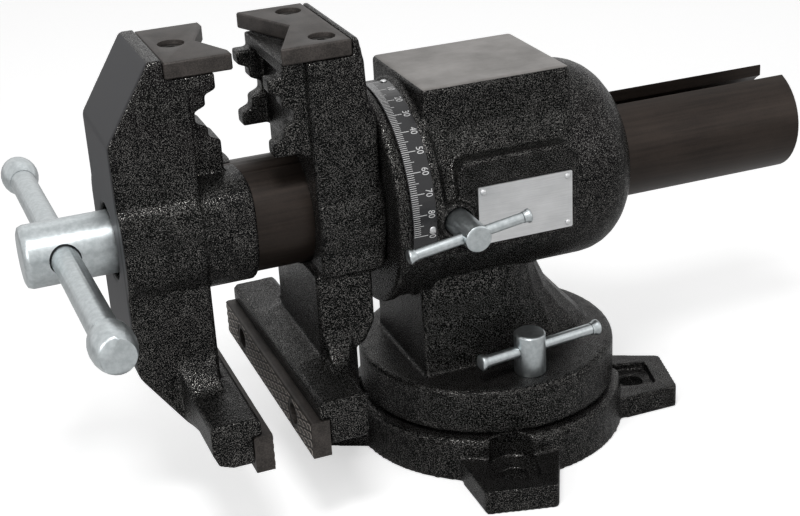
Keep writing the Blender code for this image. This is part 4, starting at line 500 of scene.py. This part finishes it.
ticks, wires = repeat_tree("degree_marks", {
    "Count": 91, "Radius": band_top, "Start": zero_angle, "Front": band_front,
    "Turn": mark_turn, "Short": 0.0034, "Medium": 0.0050, "Long": 0.0070,
    "Width": 0.00026, "Thickness": 0.00006,
})
start = Wire(ticks)
number = start.node("GeometryNodeInputIndex")
ten = marked_every(number, 10.0)
five = marked_every(number, 5.0)
length = wires["Short"] + (wires["Medium"] - wires["Short"]) * five
length = length + (wires["Long"] - wires["Medium"]) * ten
angle = wires["Start"] + number * wires["Turn"]
centre = start.node("ShaderNodeCombineXYZ", None, {
    0: wires["Front"] + mark_margin + length * 0.5,
    1: wires["Radius"] * angle.math("SINE", angle) * -1.0,
    2: wires["Radius"] * angle.math("COSINE", angle) + axis_height,
})
points = start.node("GeometryNodePoints", None, {"Count": wires["Count"], "Position": centre})
lean = start.node("FunctionNodeEulerToRotation", None, {
    0: start.node("ShaderNodeCombineXYZ", None, {0: angle, 1: 0.0, 2: 0.0}),
})
size = start.node("ShaderNodeCombineXYZ", None, {
    0: length, 1: wires["Width"] * (1.0 + ten * long_mark_widening), 2: wires["Thickness"],
})
bar = start.node("GeometryNodeMeshCube", None, {"Size": (1.0, 1.0, 1.0)})
marks = start.node("GeometryNodeInstanceOnPoints", None, {
    "Points": points, "Instance": bar, "Rotation": lean, "Scale": size,
})
end_tree(ticks, wires, marks)
grown(
    "degree_marks", bpy.data.meshes.new("degree_marks"), ticks, {}, printed,
    "turret", [],
)

digit_height, digit_rise = 0.0034, 0.00003
digit_middle = -0.0498
font_height_share, digit_width_share = 0.70, 0.82
digits = []
for value in range(10, 100, 10):
    words = bpy.data.curves.new("number_%d" % value, "FONT")
    words.body = str(value)
    words.size = digit_height / font_height_share
    words.align_x = "CENTER"
    words.align_y = "CENTER"
    words.extrude = digit_rise
    words.resolution_u = 3
    text = bpy.data.objects.new("number_%d" % value, words)
    bpy.context.scene.collection.objects.link(text)
    graph = bpy.context.evaluated_depsgraph_get()
    digit = bpy.data.meshes.new_from_object(text.evaluated_get(graph))
    bpy.data.objects.remove(text, do_unlink=True)
    middle = zero_angle + mark_turn * value
    for vertex in digit.vertices:
        run, up, out = vertex.co
        at = middle + run * digit_width_share / band_top
        reach = band_top + digit_rise + out
        vertex.co = (digit_middle + up, -reach * sin(at), axis_height + reach * cos(at))
    digits.append(digit)
shape = bmesh.new()
for digit in digits:
    shape.from_mesh(digit)
bmesh.ops.recalc_face_normals(shape, faces=shape.faces)
number_mesh = bpy.data.meshes.new("scale_numbers")
shape.to_mesh(number_mesh)
shape.free()
number_mesh.materials.clear()
number_mesh.materials.append(printed)
numbers = bpy.data.objects.new("scale_numbers", number_mesh)
bpy.context.scene.collection.objects.link(numbers)
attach(numbers, "turret")

band_rivet_x, band_rivet_lift = -0.0495, 0.0002
band_rivet_seats = []
for angle in (radians(-1.5), radians(92.4)):
    outward = Vector((0, -sin(angle), cos(angle)))
    seat = Vector((band_rivet_x, 0, axis_height)) + outward * (band_top + band_rivet_lift)
    band_rivet_seats.append((seat, outward))
grown(
    "scale_rivets", seats_mesh("scale_rivets", band_rivet_seats), rivets,
    {"Radius": 0.0017, "Height": 0.0007}, aluminium, "turret",
    ["band_rivet_0", "band_rivet_1"],
)


# Inner machined pieces: the tee nut under the disc, the thrust washer, the spindle's collar
# and its pin are plain steel, and the lock's pad and the spindle's nut are bronze.
def turned_metal(name, dark, light, rough):
    """A machined metal between two tones."""
    material, shader, start, place = new_finish(name)
    ring = noise(start, place, 700.0, 3.0)
    ring.step(0.3, 0.7).mix(dark, light).into(shader, "Base Color")
    (rough + ring * 0.15).into(shader, "Roughness")
    shader.inputs["Metallic"].default_value = 1.0
    return material


steel = turned_metal("steel_finish", (0.30, 0.30, 0.30), (0.44, 0.44, 0.44), 0.30)
bronze = turned_metal("bronze_finish", (0.38, 0.24, 0.09), (0.52, 0.36, 0.16), 0.32)
for node, body in (
    ("swivel_tee_nut", "turret"), ("thrust_washer", "moving_jaw"),
    ("spindle_collar", "spindle"), ("collar_pin", "spindle"),
):
    smoothed(node, body, steel)
for node, body in (("head_lock_pad", "head_lock"), ("spindle_nut", "head")):
    smoothed(node, body, bronze)


# Locks: zinc-plated screws with a cross hole, and a sliding tee bar through each.
# Each bar has a small flared cap on both its ends.
for node, body in (
    ("head_lock_screw", "head_lock"),
    ("swivel_lock_screw", "swivel_lock"),
    ("head_lock_bar", "head_lock_handle"),
    ("head_lock_bar_cap_a", "head_lock_handle"),
    ("head_lock_bar_cap_b", "head_lock_handle"),
    ("swivel_lock_bar", "swivel_lock_handle"),
    ("swivel_lock_bar_cap_a", "swivel_lock_handle"),
    ("swivel_lock_bar_cap_b", "swivel_lock_handle"),
):
    smoothed(node, body, zinc)


# Rotating head: the rear jaw's casting, with its sleeve inside the barrel, two ribs of
# stepped pipe teeth, and a leg down to the flat jaw's foot.
casting(
    "rotating_head", "head_casting", "head", enamel, grid=0.00085, rounds=3, most=195000
)


# Moving jaw: a casting whose front was milled flat before it was painted, so that its
# front faces are a plain satin grey-black without the hammertone's flecks.
def milled_front(start, place):
    """The upright front and the slope over it: their mask, colour, roughness and metal."""
    front_x, front_top = -0.1935, 0.1985
    slope_back, slope_top = -0.1712, 0.2345
    inside, outside = -0.0006, -0.0003
    x = place.part("X")
    z = place.part("Z")
    slope = Vector((front_x - slope_back, front_top - slope_top)).normalized()
    outward = (slope.y, -slope.x)
    upper = (x - front_x) * outward[0] + (z - front_top) * outward[1]
    front = (x - front_x) * -1.0
    mask = upper.step(inside, outside)
    mask = mask.math("MAXIMUM", mask, front.step(inside, outside))
    streak = noise(start, place, 60.0, 4.0, 0.6, (8.0, 8.0, 1.0))
    bare = streak.mix((0.030, 0.030, 0.032), (0.060, 0.060, 0.064))
    return mask, bare, 0.42 + streak * 0.12, 0.3


jaw_enamel = hammered_enamel("moving_jaw_finish", milled_front)
casting(
    "moving_jaw", "moving_jaw_casting", "moving_jaw", jaw_enamel,
    grid=0.00080, rounds=3, most=190000,
)


# Jaw caps and flat jaw plates: hardened steel with a brown-grey phosphate skin, screwed to
# the castings. The caps have a vee notch, and the plates' gripping faces are cut in diamonds.
def phosphate_skin(name, cut_in=False):
    """Phosphated steel; cut_in darkens the grooves with painted shade, and lightens the teeth's
    edges with wear and a painted highlight.
    """
    material, shader, start, place = new_finish(name)
    grain = noise(start, place, 1500.0, 2.0)
    patch = noise(start, place, 130.0, 4.0)
    tone = (grain * 0.6 + patch * 0.4).step(0.3, 0.7)
    colour = tone.mix((0.018, 0.0155, 0.0138), (0.066, 0.057, 0.052))
    if cut_in:
        cut = start.node("ShaderNodeAttribute", {"attribute_name": "cut"}, None, "Fac")
        # Painted highlight and wear: the teeth's edges are lighter. Painted shade: the groove
        # bottoms are near black.
        worn_and_lit_edge = cut.step(0.02, 0.18) * (1.0 - cut.step(0.30, 0.60))
        colour = worn_and_lit_edge.mix(colour, (0.38, 0.345, 0.315))
        colour = cut.step(0.6, 0.95).mix(colour, (0.010, 0.009, 0.008))
    colour.into(shader, "Base Color")
    (0.46 + grain * 0.16).into(shader, "Roughness")
    shader.inputs["Metallic"].default_value = 0.55
    bump = {"Height": grain, "Strength": 0.25, "Distance": 0.00015}
    start.node("ShaderNodeBump", None, bump).into(shader, "Normal")
    return material


def bevelled(node, name, body, material, width):
    """Replace a model node by a copy with its sharp edges rounded."""
    piece = merged_copy(node, name)
    shape = bmesh.new()
    shape.from_mesh(piece.data)
    flat_enough = radians(0.4)
    bmesh.ops.dissolve_limit(
        shape, angle_limit=flat_enough, verts=shape.verts, edges=shape.edges
    )
    shape.to_mesh(piece.data)
    shape.free()
    bevel = piece.modifiers.new("edges", "BEVEL")
    bevel.width = width
    bevel.segments = 3
    bevel.limit_method = "ANGLE"
    bevel.angle_limit = radians(30)
    bevel.use_clamp_overlap = True
    applied(piece)
    piece.data.shade_smooth()
    piece.data.set_sharp_from_angle(angle=sharp_corner)
    piece.data.materials.append(material)
    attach(piece, body)
    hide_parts(node)


phosphate = phosphate_skin("phosphate_finish")
cut_phosphate = phosphate_skin("cut_phosphate_finish", True)
cap_edge = 0.0005
bevelled("rear_pipe_cap", "rear_cap", "head", phosphate, cap_edge)
bevelled("moving_pipe_cap", "moving_cap", "moving_jaw", phosphate, cap_edge)


def joined(first, second):
    """Two geometries as one."""
    whole = first.node("GeometryNodeJoinGeometry")
    first.tree.links.new(first.socket, whole.socket.node.inputs[0])
    first.tree.links.new(second.socket, whole.socket.node.inputs[0])
    return whole


plate_middle = 0.0528
plate_reach, plate_half_height = 0.0746, 0.0091
blank_recess, on_the_face = 0.00053, 0.0001

teeth, wires = repeat_tree("diamond_teeth", {
    "Length": plate_reach * 2, "Height": plate_half_height * 2, "Along": 340, "Up": 44,
    "Pitch": 0.0043, "Lean": radians(19.0), "Groove": 0.00105, "Depth": 0.00055,
    "Rim": 0.0006, "Face": 0.0, "Facing": 1.0, "Hole": 0.0450, "Keep": 0.0074,
})
start = Wire(teeth)
sheet = start.node("GeometryNodeMeshGrid", None, {
    "Size X": wires["Length"], "Size Y": wires["Height"],
    "Vertices X": wires["Along"], "Vertices Y": wires["Up"],
})
# Two crossed sets of grooves, and a fall at the plate's rim and round its two screw holes.
position = start.node("GeometryNodeInputPosition")
along, up = position.part("X"), position.part("Y")
depth = along * 0.0
for lean in (wires["Lean"], wires["Lean"] * -1.0):
    line = (along * lean.math("SINE", lean) + up * lean.math("COSINE", lean)) / wires["Pitch"]
    off = line.math("ABSOLUTE", line.math("FRACT", line) - 0.5) * wires["Pitch"]
    ramp = line.math("MAXIMUM", 1.0 - off / wires["Groove"], 0.0)
    depth = depth.math("MAXIMUM", depth, ramp)
end_off = wires["Length"] * 0.5 - along.math("ABSOLUTE", along)
side_off = wires["Height"] * 0.5 - up.math("ABSOLUTE", up)
hole_off = along.math("ABSOLUTE", along) - wires["Hole"]
hole_off = (hole_off * hole_off + up * up) ** 0.5
for off in (end_off, side_off, hole_off - wires["Keep"]):
    ramp = off.math("MINIMUM", off.math("MAXIMUM", 1.0 - off / wires["Rim"], 0.0), 1.0)
    depth = depth.math("MAXIMUM", depth, ramp)
sheet = start.node("GeometryNodeStoreNamedAttribute", {"data_type": "FLOAT"}, {
    "Geometry": sheet, "Name": "cut", "Value": depth,
})
placed = start.node("ShaderNodeCombineXYZ", None, {
    0: wires["Face"] - wires["Facing"] * depth * wires["Depth"], 1: along, 2: up + plate_middle,
})
bored = start.node(
    "FunctionNodeCompare", {"operation": "LESS_THAN"}, {0: hole_off, 1: wires["Keep"]}
)
sheet = start.node("GeometryNodeDeleteGeometry", None, {"Geometry": sheet, "Selection": bored})
sheet = start.node("GeometryNodeSetPosition", None, {"Geometry": sheet, "Position": placed})
turned_round = start.node(
    "FunctionNodeCompare", {"operation": "LESS_THAN"}, {0: wires["Facing"], 1: 0.0}
)
sheet = start.node("GeometryNodeFlipFaces", None, {"Mesh": sheet, "Selection": turned_round})
end_tree(teeth, wires, joined(sheet, wires["Geometry"]))

for node, name, body, face, facing in (
    ("rear_jaw_plate", "rear_plate", "head", -0.1237, -1.0),
    ("moving_jaw_plate", "moving_plate", "moving_jaw", -0.1418, 1.0),
):
    blank = merged_copy(node, name + "_blank")
    for vertex in blank.data.vertices:
        if abs(vertex.co.x - face) < on_the_face:
            vertex.co.x = face - facing * blank_recess
    mesh = blank.data
    bpy.data.objects.remove(blank, do_unlink=True)
    grown(
        name, mesh, teeth, {"Face": face, "Facing": facing}, cut_phosphate,
        body, [node],
    )


# Black socket-head screws of the caps, the plates and the nut, and the tube's grub screws.
def black_oxide(name):
    """Blackened screw steel."""
    material, shader, start, place = new_finish(name)
    patch = noise(start, place, 300.0, 3.0)
    colour = patch.step(0.3, 0.7).mix((0.018, 0.017, 0.016), (0.045, 0.041, 0.038))
    colour.into(shader, "Base Color")
    (0.34 + patch * 0.12).into(shader, "Roughness")
    shader.inputs["Metallic"].default_value = 0.7
    return material


oxide = black_oxide("black_oxide_finish")
for node in (
    "rear_pipe_cap_screw_0", "rear_pipe_cap_screw_1", "moving_pipe_cap_screw_0",
    "rear_jaw_plate_screw_0", "rear_jaw_plate_screw_1", "moving_jaw_plate_screw_0",
    "moving_jaw_plate_screw_1", "nut_screw_0", "nut_screw_1", "tube_grub_screw_0",
    "tube_grub_screw_1",
):
    dress(node, oxide)


# Slide tube: a drawn steel tube, slotted along its top, with a brown-black oiled oxide skin
# and faint drawing marks along its length.
def oiled_tube(name):
    """Oiled oxide skin, streaked along X."""
    material, shader, start, place = new_finish(name)
    drawn = noise(start, place, 40.0, 5.0, 0.6, (0.6, 12.0, 12.0))
    patch = noise(start, place, 26.0, 4.0, 0.6)
    fine = noise(start, place, 1300.0, 2.0)
    tone = (drawn * 0.45 + patch * 0.40 + fine * 0.15).step(0.3, 0.7)
    tone.mix((0.013, 0.0090, 0.0070), (0.036, 0.026, 0.0205)).into(shader, "Base Color")
    (0.33 + drawn * 0.10 + fine * 0.08).into(shader, "Roughness")
    shader.inputs["Metallic"].default_value = 0.65
    bump = {"Height": drawn + fine * 0.3, "Strength": 0.12, "Distance": 0.0002}
    start.node("ShaderNodeBump", None, bump).into(shader, "Normal")
    return material


smoothed("slide_tube", "moving_jaw", oiled_tube("oiled_tube_finish"))


# Spindle and handle: zinc-plated steel. The handle's rod slides through the spindle's head,
# with a rounded knob on each end. The screw's thread is a helical ridge round its core.
for node in ("handle_bar", "handle_knob_far", "handle_knob_near"):
    smoothed(node, "handle", zinc)

thread_start, thread_end = -0.1575, 0.0990
thread_outer, thread_root, thread_lead = 0.0094, 0.0078, 0.0050
thread_foot_share, thread_crest_share = 0.62, 0.34

thread, wires = repeat_tree("spindle_thread", {
    "Start": thread_start, "Length": thread_end - thread_start, "Lead": thread_lead,
    "Root": thread_root, "Outer": thread_outer, "Axis": axis_height, "Steps": 28,
})
start = Wire(thread)
path = start.node("GeometryNodeCurveSpiral", None, {
    "Resolution": wires["Steps"], "Rotations": wires["Length"] / wires["Lead"],
    "Start Radius": wires["Root"], "End Radius": wires["Root"], "Height": wires["Length"],
})
crest = wires["Outer"] - wires["Root"]
ridge = start.node("GeometryNodeCurvePrimitiveQuadrilateral", {"mode": "TRAPEZOID"}, {
    "Bottom Width": wires["Lead"] * thread_foot_share,
    "Top Width": wires["Lead"] * thread_crest_share,
    "Height": crest * 2.0, "Offset": 0.0,
})
path = start.node("GeometryNodeSetCurveNormal", {"mode": "Z_UP"}, {"Curve": path})
turned = start.node("GeometryNodeCurveToMesh", None, {"Curve": path, "Profile Curve": ridge})
turned = start.node("GeometryNodeTransform", None, {
    "Geometry": turned, "Rotation": (0.0, pi / 2, 0.0),
})
lift = start.node("ShaderNodeCombineXYZ", None, {0: wires["Start"], 1: 0.0, 2: wires["Axis"]})
turned = start.node("GeometryNodeTransform", None, {"Geometry": turned, "Translation": lift})
end_tree(thread, wires, joined(turned, wires["Geometry"]))

# The model's plain screw shrinks to the thread's root, and its round head gets true normals.
relief_length = 0.004
plain_low, plain_high = 0.0090, 0.0098
square_to_axis, facing_outward = 0.02, 0.99
core = merged_copy("spindle", "spindle_core")
for vertex in core.data.vertices:
    y, z = vertex.co.y, vertex.co.z - axis_height
    reach = hypot(y, z)
    if vertex.co.x > thread_start - relief_length and plain_low < reach < plain_high:
        vertex.co.y = y * thread_root / reach
        vertex.co.z = axis_height + z * thread_root / reach
even_shading(core)
core_mesh = core.data
rounded = [loop.vector.copy() for loop in core_mesh.corner_normals]
for face in core_mesh.polygons:
    if abs(face.normal.x) > square_to_axis:
        continue
    for corner in face.loop_indices:
        place = core_mesh.vertices[core_mesh.loops[corner].vertex_index].co
        outward = Vector((0.0, place.y, place.z - axis_height)).normalized()
        if outward.dot(face.normal) > facing_outward:
            rounded[corner] = outward
core_mesh.normals_split_custom_set(rounded)
bpy.data.objects.remove(core, do_unlink=True)
grown("spindle_screw", core_mesh, thread, {}, zinc, "spindle", ["spindle"])
